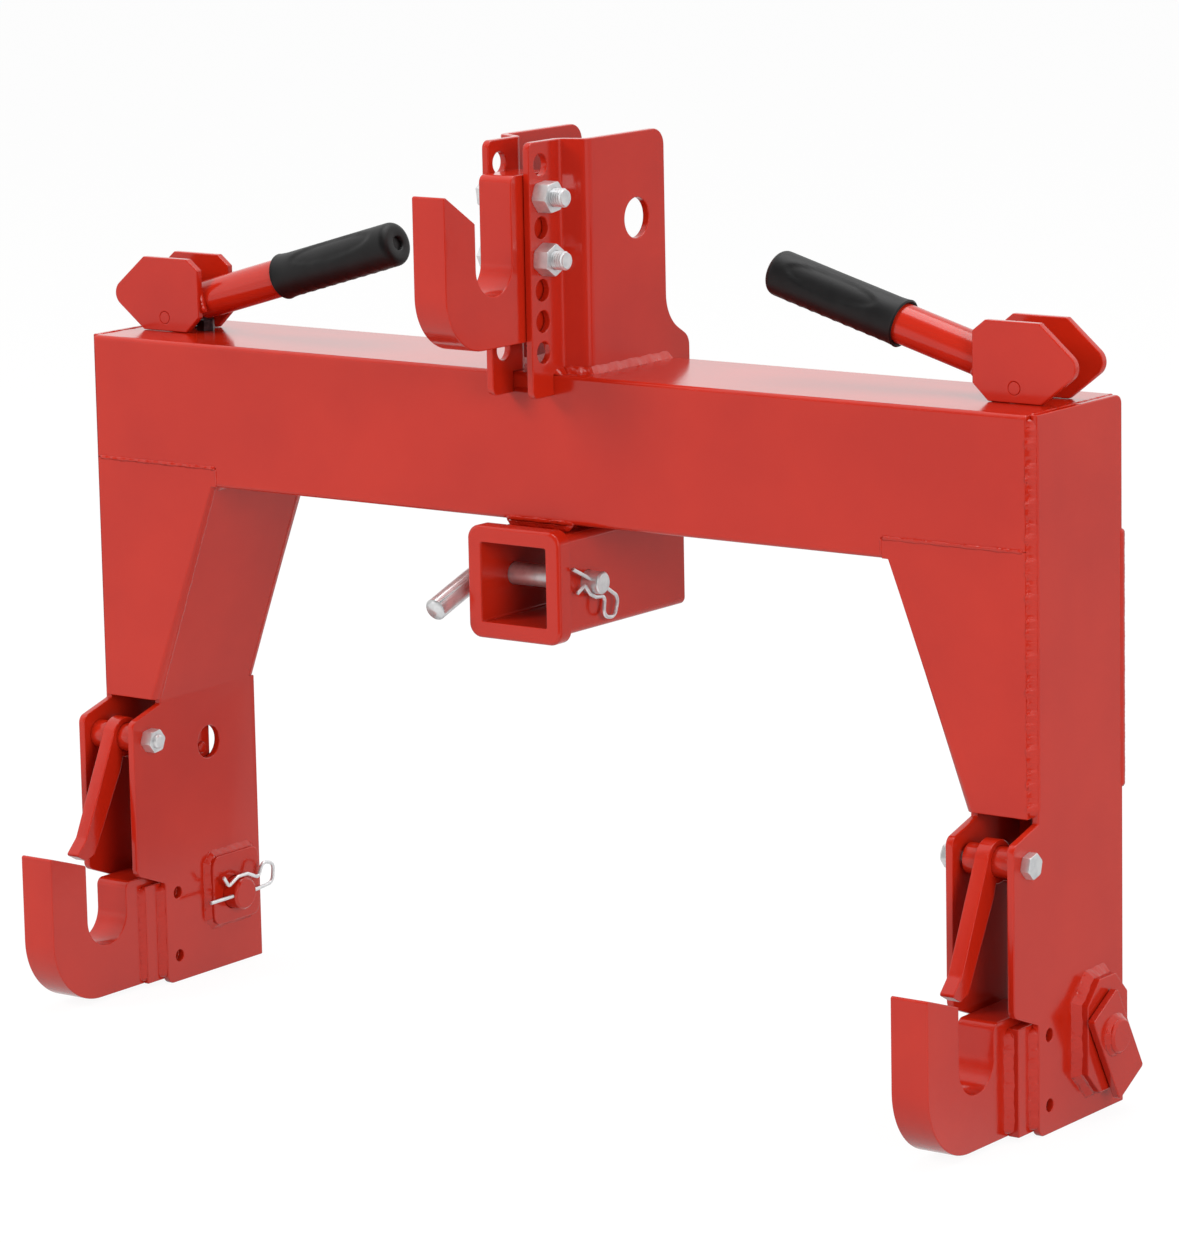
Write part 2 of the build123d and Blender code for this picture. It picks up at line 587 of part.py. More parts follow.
def cam_plate(y0):
    points = [
        (-CAM_BOTTOM_HALF, CAM_REST_GAP - CAM_PIN_HEIGHT),
        (CAM_BOTTOM_HALF, CAM_REST_GAP - CAM_PIN_HEIGHT),
        CAM_NOSE_APEX,
        (CAM_TOP_OUT, CAM_TOP),
        (-CAM_TOP_IN, CAM_TOP),
        (-CAM_INNER, CAM_INNER_HIGH),
        (-CAM_INNER, CAM_INNER_LOW),
    ]
    radii = [CAM_CORNER, CAM_CORNER, CAM_NOSE_RADIUS, CAM_CORNER, CAM_CORNER, CAM_CORNER, CAM_CORNER]
    sketch = Pos(CAM_PIN_X, CAM_PIN_Z) * (outline(points, radii) - Circle(CAM_PIN / 2))
    return front_plate(sketch, y0, CAM_PLATE)


def cam_plate_ys():
    front = CAM_Y - CAM_GAP / 2 - CAM_PLATE
    rear = CAM_Y + CAM_GAP / 2
    return front, rear


def cam_pin():
    front, rear = cam_plate_ys()
    return y_cylinder(CAM_PIN / 2, front, rear + CAM_PLATE, CAM_PIN_X, CAM_PIN_Z)


def handle_axis():
    """Frame whose Z runs along the handle tube, from beside the cam pin towards the middle of the hitch."""
    tilt = math.radians(HANDLE_TILT)
    direction = (-math.cos(tilt), 0, math.sin(tilt))
    return Plane(origin=(CAM_PIN_X, CAM_Y, CAM_PIN_Z + HANDLE_RISE), x_dir=(0, 1, 0), z_dir=direction)


def handle_tube():
    axis = handle_axis()
    ring = Circle(HANDLE_TUBE / 2) - Circle(HANDLE_TUBE / 2 - HANDLE_WALL)
    return extrude(axis.offset(HANDLE_START) * ring, HANDLE_END - HANDLE_START)


def handle_grip():
    """Moulded sleeve, closed at its far end, with a raised lip where the hand stops."""
    body_radius = GRIP_DIAMETER / 2
    bore_radius = HANDLE_TUBE / 2
    lip_radius = GRIP_LIP / 2
    lip_end = GRIP_START + GRIP_LIP_LENGTH
    section = outline(
        [(bore_radius, GRIP_START), (lip_radius, GRIP_START), (lip_radius, lip_end),
         (body_radius, lip_end + GRIP_LIP_LENGTH), (body_radius, GRIP_END), (0, GRIP_END),
         (0, HANDLE_END), (bore_radius, HANDLE_END)],
        [0, GRIP_LIP_RADIUS, GRIP_NECK_RADIUS, GRIP_NECK_RADIUS, GRIP_END_RADIUS, 0, 0, 0],
    )
    grip = revolve(Plane.XZ * section, Axis.Z)
    return handle_axis().location * grip


def stop_bolt():
    x = CAM_PIN_X - STOP_BOLT_INWARD
    hexagon = Pos(x, CAM_Y) * RegularPolygon(STOP_BOLT_AF / math.sqrt(3), 6)
    head = extrude(Plane.XY.offset(BEAM_TOP) * hexagon, STOP_BOLT_HEAD)
    head = chamfer(head.faces().sort_by(Axis.Z)[-1].edges(), STOP_BOLT_CHAMFER)
    shank_end = BEAM_TOP - BEAM_WALL - STOP_BOLT_REACH
    return head + z_cylinder(STOP_BOLT / 2, shank_end, BEAM_TOP, x, CAM_Y)


# Mast

def mast_profile():
    """Side view of a mast plate in Y and Z, before its bends are taken into account."""
    strip_bottom = BEAM_TOP - STRIP_DROP
    foot_bottom = BEAM_TOP - MAST_FOOT_DROP
    corners = [
        (STRIP_FRONT, strip_bottom),
        (0, strip_bottom),
        (0, BEAM_TOP),
        (DEPTH, BEAM_TOP),
        (DEPTH, foot_bottom),
        (MAST_FOOT_REAR, foot_bottom),
        (MAST_FOOT_REAR, BEAM_TOP + MAST_FLARE_LOW),
        (MAST_REAR, BEAM_TOP + MAST_FLARE_HIGH),
        (MAST_REAR, MAST_TOP),
        (STRIP_FRONT, MAST_TOP),
    ]
    flare = [MAST_FLARE_OUTER_RADIUS, MAST_FLARE_INNER_RADIUS]
    radii = [STRIP_CORNER, 0, 0, 0, 0, MAST_FOOT_CORNER, *flare, MAST_REAR_CORNER, STRIP_CORNER]
    holes = [Pos(HEIGHT_HOLE_Y, hole_height(k)) * Circle(HEIGHT_HOLE / 2) for k in range(HEIGHT_HOLES)]
    link_hole = Pos(TOP_LINK_Y, MAST_TOP - TOP_LINK_DROP) * Circle(TOP_LINK_HOLE / 2)
    return outline(corners, radii) - holes - link_hole


def hole_height(k):
    return HEIGHT_HOLE_TOP - k * HEIGHT_HOLE_PITCH


def mast_plate():
    """Z-bent plate: the front strip holds the hook, the jog steps out, the rear part is a clevis cheek."""
    t = MAST_PLATE
    strip_in = STRIP_OUTER_X - t
    clevis_in = CLEVIS_OUTER_X - t
    jog_angle = math.atan2(CLEVIS_OUTER_X - STRIP_OUTER_X, JOG_REAR - STRIP_REAR)
    setback = t * math.tan(jog_angle / 2)
    section = outline(
        [(strip_in, STRIP_FRONT), (STRIP_OUTER_X, STRIP_FRONT), (STRIP_OUTER_X, STRIP_REAR),
         (CLEVIS_OUTER_X, JOG_REAR), (CLEVIS_OUTER_X, MAST_FOOT_REAR), (clevis_in, MAST_FOOT_REAR),
         (clevis_in, JOG_REAR + setback), (strip_in, STRIP_REAR + setback)],
        [0, 0, MAST_BEND, MAST_BEND + t, 0, 0, MAST_BEND, MAST_BEND + t],
    )
    height = MAST_HEIGHT + MAST_FOOT_DROP
    bent = extrude(Plane.XY.offset(BEAM_TOP - MAST_FOOT_DROP) * section, height)
    return bent & side_plate(mast_profile(), 0, CLEVIS_OUTER_X + 1)


def upper_hook():
    slot_bottom = MAST_TOP - UPPER_HOOK_SLOT_DROP
    prong_top = MAST_TOP - UPPER_HOOK_PRONG_DROP
    shank_top = MAST_TOP - UPPER_HOOK_SHANK_DROP
    bottom = MAST_TOP - UPPER_HOOK_BOTTOM_DROP
    sketch = hook_outline(
        UPPER_HOOK_FRONT, UPPER_HOOK_PRONG, UPPER_HOOK_SLOT, slot_bottom, prong_top,
        UPPER_HOOK_PRONG_FALL, shank_top, UPPER_HOOK_SHANK_REAR, bottom, UPPER_HOOK_NOSE,
    )
    half = UPPER_HOOK_THICKNESS / 2
    hook = side_plate(sketch, -half, UPPER_HOOK_THICKNESS)
    return hook - [x_cylinder(HEIGHT_HOLE / 2, -half - 1, half + 1, HEIGHT_HOLE_Y, z) for z in bolt_heights()]


def bolt_heights():
    return [hole_height(k) for k in BOLT_HOLES_USED]


def mast_bolt(z, turn):
    end = STRIP_OUTER_X + MAST_NUT_HEIGHT + MAST_BOLT_PROUD
    shank = x_cylinder(MAST_BOLT / 2, -STRIP_OUTER_X, end, HEIGHT_HOLE_Y, z)
    shank = chamfer(shank.edges().filter_by(GeomType.CIRCLE).sort_by(Axis.X)[-1], MAST_BOLT_CHAMFER)
    seat = -STRIP_OUTER_X
    return shank + x_hexagon(MAST_BOLT_AF, seat - MAST_BOLT_HEAD, seat, HEIGHT_HOLE_Y, z, turn)


def mast_nut(z, turn):
    x1 = STRIP_OUTER_X + MAST_NUT_HEIGHT
    nut = x_hexagon(MAST_BOLT_AF, STRIP_OUTER_X, x1, HEIGHT_HOLE_Y, z, turn)
    return nut - x_cylinder(MAST_BOLT / 2, STRIP_OUTER_X - 1, x1 + 1, HEIGHT_HOLE_Y, z)


# Receiver

def receiver_tube():
    outer = RectangleRounded(RECEIVER_OUTER, RECEIVER_OUTER, RECEIVER_CORNER)
    inner = RectangleRounded(RECEIVER_OPENING, RECEIVER_OPENING, RECEIVER_BORE_CORNER)
    start = RECEIVER_FRONT + COLLAR_LIP
    tube = front_plate(Pos(0, RECEIVER_Z) * (outer - inner), start, RECEIVER_REAR - start)
    bore = x_cylinder(RECEIVER_PIN / 2 + FIT, -RECEIVER_OUTER, RECEIVER_OUTER, RECEIVER_PIN_Y, RECEIVER_Z)
    return tube - bore


def receiver_collar():
    outer = RectangleRounded(COLLAR_OUTER, COLLAR_OUTER, COLLAR_CORNER)
    collar = front_plate(Pos(0, RECEIVER_Z) * outer, RECEIVER_FRONT, COLLAR_DEPTH)
    collar = fillet(collar.faces().sort_by(Axis.Y)[0].edges(), COLLAR_FRONT_RADIUS)
    opening = Pos(0, RECEIVER_Z) * RectangleRounded(RECEIVER_OPENING, RECEIVER_OPENING, RECEIVER_BORE_CORNER)
    collar -= front_plate(opening, RECEIVER_FRONT - 1, COLLAR_DEPTH + 2)
    seat = Pos(0, RECEIVER_Z) * RectangleRounded(RECEIVER_OUTER, RECEIVER_OUTER, RECEIVER_CORNER)
    return collar - front_plate(seat, RECEIVER_FRONT + COLLAR_LIP, COLLAR_DEPTH)


def receiver_pad():
    top_of_tube = RECEIVER_Z + RECEIVER_OUTER / 2
    thickness = BEAM_BOTTOM - top_of_tube
    depth = DEPTH - 2 * BEAM_CORNER
    return Pos(0, DEPTH / 2, top_of_tube + thickness / 2) * Box(RECEIVER_PAD_WIDTH, depth, thickness)


def receiver_pin():
    """Pin with an arm bent forward and down, in a plane square to the pin."""
    arm_x = -RECEIVER_OUTER / 2 - RECEIVER_ARM_OUT
    end_x = RECEIVER_OUTER / 2 + RECEIVER_PIN_END
    drop = math.radians(RECEIVER_ARM_DROP)
    tip_y = RECEIVER_PIN_Y - RECEIVER_ARM_LENGTH * math.cos(drop)
    tip_z = RECEIVER_Z - RECEIVER_ARM_LENGTH * math.sin(drop)
    path = FilletPolyline(
        (end_x, RECEIVER_PIN_Y, RECEIVER_Z), (arm_x, RECEIVER_PIN_Y, RECEIVER_Z), (arm_x, tip_y, tip_z),
        radius=RECEIVER_PIN_BEND,
    )
    pin = sweep(Plane(origin=path @ 0, z_dir=path % 0) * Circle(RECEIVER_PIN / 2), path=path)
    end_edge = pin.edges().filter_by(GeomType.CIRCLE).sort_by(Axis.X)[-1]
    pin = chamfer(end_edge, RECEIVER_PIN_CHAMFER)
    clip_x = end_x - RECEIVER_CLIP_INSET
    turn = math.radians(RECEIVER_CLIP_TURN)
    across = Vector(0, math.cos(turn), math.sin(turn))
    hole_start = Vector(clip_x, RECEIVER_PIN_Y, RECEIVER_Z) - across * RECEIVER_PIN
    hole_plane = Plane(origin=hole_start, z_dir=across)
    return pin - extrude(hole_plane * Circle(CLIP_WIRE / 2 + CLIP_FIT), 2 * RECEIVER_PIN)


def spring_clip(pin_radius, tail, reach):
    """Wire clip in its own plane: a straight leg along X through the pin, and a bowed leg over the pin."""
    hump = pin_radius + CLIP_WIRE / 2 + CLIP_HUMP_GAP
    low = hump * 0.62
    path = FilletPolyline(
        (-tail, 0),
        (reach, 0),
        (reach + 2 * CLIP_LOOP, 0.2 * CLIP_LOOP),
        (reach + 2.2 * CLIP_LOOP, 1.9 * CLIP_LOOP),
        (reach + 0.7 * CLIP_LOOP, 2.4 * CLIP_LOOP),
        (pin_radius + 2 * CLIP_WIRE, low),
        (pin_radius * 0.45, hump),
        (-pin_radius * 0.45, hump),
        (-pin_radius - 1.6 * CLIP_WIRE, low),
        (-pin_radius - 3.6 * CLIP_WIRE, low + 2.8 * CLIP_WIRE),
        radius=[5.0, 5.5, 5.0, 5.5, 3.0, 3.0, 3.0, 2.0],
    )
    section = Plane(origin=path @ 0, z_dir=path % 0) * Circle(CLIP_WIRE / 2)
    return sweep(section, path=path)


def link_pin_clip():
    inner, _ = link_pin_span()
    plane = Plane(origin=(inner + LINK_CLIP_INSET, LINK_PIN_Y, LINK_PIN_Z), x_dir=(0, 1, 0), z_dir=(1, 0, 0))
    return plane.location * spring_clip(LINK_PIN_RADIUS, LINK_CLIP_TAIL, LINK_PIN_RADIUS + LINK_CLIP_REACH)


def receiver_pin_clip():
    x = RECEIVER_OUTER / 2 + RECEIVER_PIN_END - RECEIVER_CLIP_INSET
    turn = math.radians(RECEIVER_CLIP_TURN)
    plane = Plane(
        origin=(x, RECEIVER_PIN_Y, RECEIVER_Z), x_dir=(0, math.cos(turn), math.sin(turn)), z_dir=(-1, 0, 0)
    )
    pin_radius = RECEIVER_PIN / 2
    return plane.location * spring_clip(pin_radius, RECEIVER_CLIP_TAIL, pin_radius + RECEIVER_CLIP_REACH)


# Saving

def save(name, *solids):
    """Write one node: its solids are moved so that the hitch is centred on its own depth."""
    moved = [Pos(0, Y_SHIFT, 0) * solid for whole in solids for solid in whole.solids()]
    shape = moved[0] if len(moved) == 1 else Compound(children=moved)
    export_step(shape, f"parts/{name}.step")


def save_pair(name, shape):
    save(f"{name}_right", shape)
    save(f"{name}_left", mirror(shape, about=Plane.YZ))


def both_sides(shape):
    return shape, mirror(shape, about=Plane.YZ)


os.makedirs("parts", exist_ok=True)

save("top_beam", top_beam())
save_pair("outer_side_plate", outer_side_plate())
save_pair("inner_side_plate", inner_side_plate())
save_pair("front_leg_plate", front_leg_plate())
save_pair("rear_leg_plate", rear_leg_plate())

hook_inner_x = HOOK_X - LOWER_HOOK_THICKNESS / 2
hook_outer_x = HOOK_X + LOWER_HOOK_THICKNESS / 2
save_pair("lower_hook", lower_hook())
save_pair("inner_hook_spacer", hook_spacer(INNER_INSIDE, hook_inner_x))
save_pair("outer_hook_spacer", hook_spacer(hook_outer_x, OUTER_INSIDE))
save_pair("outer_link_boss", outer_link_boss())
save_pair("inner_link_boss", inner_link_boss())

save_pair("mast_plate", mast_plate())
save("upper_hook", upper_hook())
save("mast_bolts", *[mast_bolt(z, turn) for z, turn in zip(bolt_heights(), MAST_NUT_TURNS)])
save("mast_nuts", *[mast_nut(z, turn) for z, turn in zip(bolt_heights(), MAST_NUT_TURNS)])

save("receiver_tube", receiver_tube())
save("receiver_collar", receiver_collar())
save("receiver_pad", receiver_pad())
save("receiver_pin", receiver_pin())
save("receiver_pin_clip", receiver_pin_clip())

save_pair("latch_lever", latch_lever())
save_pair("latch_bush", latch_bush())
save("latch_pivot_bolts", *both_sides(pivot_bolt()))
save("latch_pivot_nuts", *both_sides(pivot_nut()))

save_pair("release_rod", release_rod())
save_pair("rod_foot_pin", rod_foot_pin())
save_pair("spring_collar", spring_collar())
save_pair("return_spring", return_spring())

cam_front_y, cam_rear_y = cam_plate_ys()
save_pair("front_cam_plate", cam_plate(cam_front_y))
save_pair("rear_cam_plate", cam_plate(cam_rear_y))
save_pair("cam_pin", cam_pin())
save_pair("handle_tube", handle_tube())
save_pair("handle_grip", handle_grip())
save("handle_stop_bolts", *both_sides(stop_bolt()))

save_pair("lower_link_pin", lower_link_pin())
save_pair("link_pin_flag", link_pin_flag())
save_pair("link_pin_clip", link_pin_clip())
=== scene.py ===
import json
import math
import random

import bmesh
import bpy
from mathutils import Matrix, Vector


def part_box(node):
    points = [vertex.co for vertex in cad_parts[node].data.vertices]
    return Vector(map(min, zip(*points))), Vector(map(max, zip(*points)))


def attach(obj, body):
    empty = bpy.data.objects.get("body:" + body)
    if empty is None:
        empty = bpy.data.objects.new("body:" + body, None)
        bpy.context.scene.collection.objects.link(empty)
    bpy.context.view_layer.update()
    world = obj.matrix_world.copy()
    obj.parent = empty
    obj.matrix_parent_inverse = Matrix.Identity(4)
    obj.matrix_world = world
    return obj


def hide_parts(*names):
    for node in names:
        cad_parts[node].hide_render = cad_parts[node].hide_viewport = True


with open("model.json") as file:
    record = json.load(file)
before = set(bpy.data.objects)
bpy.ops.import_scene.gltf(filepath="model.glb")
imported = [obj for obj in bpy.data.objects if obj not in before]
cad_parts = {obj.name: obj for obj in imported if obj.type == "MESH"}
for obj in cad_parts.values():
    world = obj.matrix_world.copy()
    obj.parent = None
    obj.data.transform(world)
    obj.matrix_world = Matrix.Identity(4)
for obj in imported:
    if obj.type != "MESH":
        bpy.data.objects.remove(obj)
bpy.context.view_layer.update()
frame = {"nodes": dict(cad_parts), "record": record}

mm = 0.001
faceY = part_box("front_leg_plate_right")[0].y  # front face of the beam and legs
bodyOf = {node: body for body, nodes in frame["record"]["behaviour"]["bodies"].items() for node in nodes}
left, right = Vector((-1, 0, 0)), Vector((1, 0, 0))
front, rear = Vector((0, -1, 0)), Vector((0, 1, 0))
up, down = Vector((0, 0, 1)), Vector((0, 0, -1))


# Point in metres from millimetres, with Y counted back from the front face of the frame
def at(x, y, z):
    return Vector((x * mm, faceY + y * mm, z * mm))


# Linear colour from an sRGB hex value
def hexColour(code):
    channels = [int(code[i:i + 2], 16) / 255 for i in (1, 3, 5)]
    linear = [c / 12.92 if c <= 0.04045 else ((c + 0.055) / 1.055) ** 2.4 for c in channels]
    return (*linear, 1.0)


# Adds one node with its settings, its sockets' values and its links
def addNode(tree, kind, settings=None, values=None, links=None):
    node = tree.nodes.new(kind)
    for name, value in (settings or {}).items():
        setattr(node, name, value)
    for name, value in (values or {}).items():
        node.inputs[name].default_value = value
    for name, source in (links or {}).items():
        tree.links.new(source, node.inputs[name])
    return node


def startMaterial(name):
    material = bpy.data.materials.new(name)
    material.use_nodes = True
    material.node_tree.nodes.clear()
    tree = material.node_tree
    coords = addNode(tree, "ShaderNodeTexCoord")
    return material, tree, coords.outputs["Object"]


def finishMaterial(tree, shader):
    addNode(tree, "ShaderNodeOutputMaterial", links={"Surface": shader.outputs[0]})


# Powder coat: sprayed dry and baked, so it is a thick glossy skin with a faint orange peel
powderCoat = {
    "deep": "#AE1F0E",
    "fresh": "#B62411",
    "patchMm": 90,
    "patchFrom": 0.35,
    "patchTo": 0.65,
    "peelMm": 3.2,
    "peelHeightMm": 0.005,
    "roughLow": 0.12,
    "roughHigh": 0.17,
}


def redPowderCoat(name, pitMm=0.0, pitHeightMm=0.0):
    material, tree, coords = startMaterial(name)
    values = powderCoat
    patches = addNode(tree, "ShaderNodeTexNoise", values={"Scale": 1000 / values["patchMm"], "Detail": 3},
                      links={"Vector": coords})
    colour = addNode(tree, "ShaderNodeValToRGB", links={"Fac": patches.outputs["Fac"]})
    colour.color_ramp.elements[0].position = values["patchFrom"]
    colour.color_ramp.elements[0].color = hexColour(values["deep"])
    colour.color_ramp.elements[1].position = values["patchTo"]
    colour.color_ramp.elements[1].color = hexColour(values["fresh"])
    peel = addNode(tree, "ShaderNodeTexNoise", values={"Scale": 1000 / values["peelMm"], "Detail": 1},
                   links={"Vector": coords})
    rough = addNode(tree, "ShaderNodeMapRange", values={"To Min": values["roughLow"], "To Max": values["roughHigh"]},
                    links={"Value": patches.outputs["Fac"]})
    bump = addNode(tree, "ShaderNodeBump", values={"Strength": 1.0, "Distance": values["peelHeightMm"] * mm},
                   links={"Height": peel.outputs["Fac"]})
    if pitMm:  # the flame-cut and rolled plate under the coat is uneven
        pits = addNode(tree, "ShaderNodeTexNoise", values={"Scale": 1000 / pitMm, "Detail": 3},
                       links={"Vector": coords})
        bump = addNode(tree, "ShaderNodeBump", values={"Strength": 1.0, "Distance": pitHeightMm * mm},
                       links={"Height": pits.outputs["Fac"], "Normal": bump.outputs["Normal"]})
    shader = addNode(tree, "ShaderNodeBsdfPrincipled", values={"IOR": 1.5},
                     links={"Base Color": colour.outputs["Color"], "Roughness": rough.outputs["Result"],
                            "Normal": bump.outputs["Normal"]})
    finishMaterial(tree, shader)
    return material


# Zinc plate: bright electroplated steel, slightly cloudy, with the drawn wire's fine scratches
zinc = {
    "base": "#E6E7E8",
    "cloud": "#D2D4D6",
    "cloudMm": 6,
    "cloudFrom": 0.3,
    "cloudTo": 0.6,
    "grainMm": 0.6,
    "grainHeightMm": 0.008,
    "roughLow": 0.29,
    "roughHigh": 0.39,
    "metallic": 0.76,  # the passivated film over the zinc takes the rest
}


def zincPlate():
    material, tree, coords = startMaterial("zincPlatedSteel")
    values = zinc
    cloud = addNode(tree, "ShaderNodeTexNoise", values={"Scale": 1000 / values["cloudMm"], "Detail": 3},
                    links={"Vector": coords})
    colour = addNode(tree, "ShaderNodeValToRGB", links={"Fac": cloud.outputs["Fac"]})
    colour.color_ramp.elements[0].position = values["cloudFrom"]
    colour.color_ramp.elements[0].color = hexColour(values["cloud"])
    colour.color_ramp.elements[1].position = values["cloudTo"]
    colour.color_ramp.elements[1].color = hexColour(values["base"])
    rough = addNode(tree, "ShaderNodeMapRange", values={"To Min": values["roughHigh"], "To Max": values["roughLow"]},
                    links={"Value": cloud.outputs["Fac"]})
    grain = addNode(tree, "ShaderNodeTexNoise", values={"Scale": 1000 / values["grainMm"], "Detail": 2},
                    links={"Vector": coords})
    bump = addNode(tree, "ShaderNodeBump", values={"Strength": 1.0, "Distance": values["grainHeightMm"] * mm},
                   links={"Height": grain.outputs["Fac"]})
    shader = addNode(tree, "ShaderNodeBsdfPrincipled", values={"Metallic": values["metallic"]},
                     links={"Base Color": colour.outputs["Color"], "Roughness": rough.outputs["Result"],
                            "Normal": bump.outputs["Normal"]})
    finishMaterial(tree, shader)
    return material


# Moulded rubber: soft matt black with a fine stipple from the mould and dusty high spots
rubber = {
    "base": "#0B0B0C",
    "dusty": "#131314",
    "dustMm": 14,
    "dustFrom": 0.35,
    "dustTo": 0.7,
    "stippleMm": 1.1,
    "stippleHeightMm": 0.04,
    "roughness": 0.5,
}


def mouldedRubber():
    material, tree, coords = startMaterial("mouldedRubber")
    values = rubber
    dust = addNode(tree, "ShaderNodeTexNoise", values={"Scale": 1000 / values["dustMm"], "Detail": 4},
                   links={"Vector": coords})
    colour = addNode(tree, "ShaderNodeValToRGB", links={"Fac": dust.outputs["Fac"]})
    colour.color_ramp.elements[0].position = values["dustFrom"]
    colour.color_ramp.elements[0].color = hexColour(values["base"])
    colour.color_ramp.elements[1].position = values["dustTo"]
    colour.color_ramp.elements[1].color = hexColour(values["dusty"])
    stipple = addNode(tree, "ShaderNodeTexNoise", values={"Scale": 1000 / values["stippleMm"], "Detail": 2},
                      links={"Vector": coords})
    bump = addNode(tree, "ShaderNodeBump", values={"Strength": 1.0, "Distance": values["stippleHeightMm"] * mm},
                   links={"Height": stipple.outputs["Fac"]})
    shader = addNode(tree, "ShaderNodeBsdfPrincipled", values={"Roughness": values["roughness"], "IOR": 1.4},
                     links={"Base Color": colour.outputs["Color"], "Normal": bump.outputs["Normal"]})
    finishMaterial(tree, shader)
    return material


# Black oxide: steel blackened in a hot bath and oiled, dark with a dull metal shine
blackOxide = {"base": "#3C3C3F", "worn": "#58585B", "wearMm": 3, "wearFrom": 0.4, "wearTo": 0.75, "roughness": 0.4}


def blackOxideSteel():
    material, tree, coords = startMaterial("blackOxideSteel")
    values = blackOxide
    wear = addNode(tree, "ShaderNodeTexNoise", values={"Scale": 1000 / values["wearMm"], "Detail": 3},
                   links={"Vector": coords})
    colour = addNode(tree, "ShaderNodeValToRGB", links={"Fac": wear.outputs["Fac"]})
    colour.color_ramp.elements[0].position = values["wearFrom"]
    colour.color_ramp.elements[0].color = hexColour(values["base"])
    colour.color_ramp.elements[1].position = values["wearTo"]
    colour.color_ramp.elements[1].color = hexColour(values["worn"])
    shader = addNode(tree, "ShaderNodeBsdfPrincipled", values={"Metallic": 1.0, "Roughness": values["roughness"]},
                     links={"Base Color": colour.outputs["Color"]})
    finishMaterial(tree, shader)
    return material


coat = redPowderCoat("redPowderCoat")
plateCoat = redPowderCoat("redPowderCoatOnFlameCutPlate", pitMm=7, pitHeightMm=0.12)  # hooks, levers and bosses
zincFinish = zincPlate()
rubberFinish = mouldedRubber()
darkFinish = blackOxideSteel()
print("materials made")


# Turns a bmesh into an object that rides on a body, smooth but for its sharp edges
def makePiece(name, shape, body, material, sharpDegrees=35):
    mesh = bpy.data.meshes.new(name)
    shape.to_mesh(mesh)
    shape.free()
    mesh.materials.append(material)
    mesh.shade_smooth()
    mesh.set_sharp_from_angle(angle=math.radians(sharpDegrees))
    piece = bpy.data.objects.new(name, mesh)
    bpy.context.scene.collection.objects.link(piece)
    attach(piece, body)
    return piece


# Moves one bmesh into another
def addTo(whole, part):
    mesh = bpy.data.meshes.new("part")
    part.to_mesh(mesh)
    part.free()
    whole.from_mesh(mesh)
    bpy.data.meshes.remove(mesh)


# Turns a piece of the +X side into its mate
def mirrorShape(shape):
    bmesh.ops.scale(shape, vec=(-1, 1, 1), verts=shape.verts)
    bmesh.ops.recalc_face_normals(shape, faces=shape.faces)


# Painted steel: each plate's cut edges are eased, as shot-blasting and the coat leave them
easedEdges = {
    "top_beam": 0.8, "outer_side_plate": 0.8, "inner_side_plate": 0.8, "front_leg_plate": 0.7,
    "rear_leg_plate": 0.7, "lower_hook": 0.8, "inner_hook_spacer": 0.8, "outer_hook_spacer": 0.8,
    "outer_link_boss": 0.8, "inner_link_boss": 0.8, "mast_plate": 0.8, "upper_hook": 0.8,
    "receiver_tube": 0.5, "receiver_collar": 0.5, "receiver_pad": 0.6, "latch_lever": 0.7, "latch_bush": 0.5,
    "front_cam_plate": 0.8, "rear_cam_plate": 0.8, "cam_pin": 0.3, "handle_tube": 0.4, "link_pin_flag": 0.7,
    "lower_link_pin": 0.3, "release_rod": 0.5, "mast_nuts": 0.3, "latch_pivot_bolts": 0.3,
    "latch_pivot_nuts": 0.3, "receiver_pin": 0.0, "receiver_pin_clip": 0.0, "link_pin_clip": 0.0,
    "handle_stop_bolts": 0.3, "rod_foot_pin": 0.2,
}
roundedSlopes = {"front_leg_plate": 4.0, "rear_leg_plate": 4.0}  # welded corners along the sloping edge
flameCut = ("lower_hook", "upper_hook", "latch_lever", "outer_link_boss", "inner_link_boss")
zincNodes = (
    "mast_nuts", "latch_pivot_bolts", "latch_pivot_nuts", "receiver_pin", "receiver_pin_clip", "link_pin_clip",
)
darkNodes = ("handle_stop_bolts",)
easing = {
    "mergeMm": 0.004,
    "flatDegrees": 0.4,  # facets of one face differ by less
    "sharpDegrees": 28,  # sharper edges are eased
    "segments": 2,
    "slopeSegments": 5,
    "slopeRun": 0.03,  # the sloping edge runs further than this in X and in Z, in metres
}


# The edge along a leg plate's slope, on the plate's outer face
def slopeEdges(shape, kind):
    slanted = [e for e in shape.edges if min(abs(e.verts[0].co.x - e.verts[1].co.x),
                                             abs(e.verts[0].co.z - e.verts[1].co.z)) > easing["slopeRun"]]
    outer = min if kind.startswith("front") else max
    outerY = outer(e.verts[0].co.y for e in slanted)
    return [e for e in slanted if abs(e.verts[0].co.y - outerY) < mm]


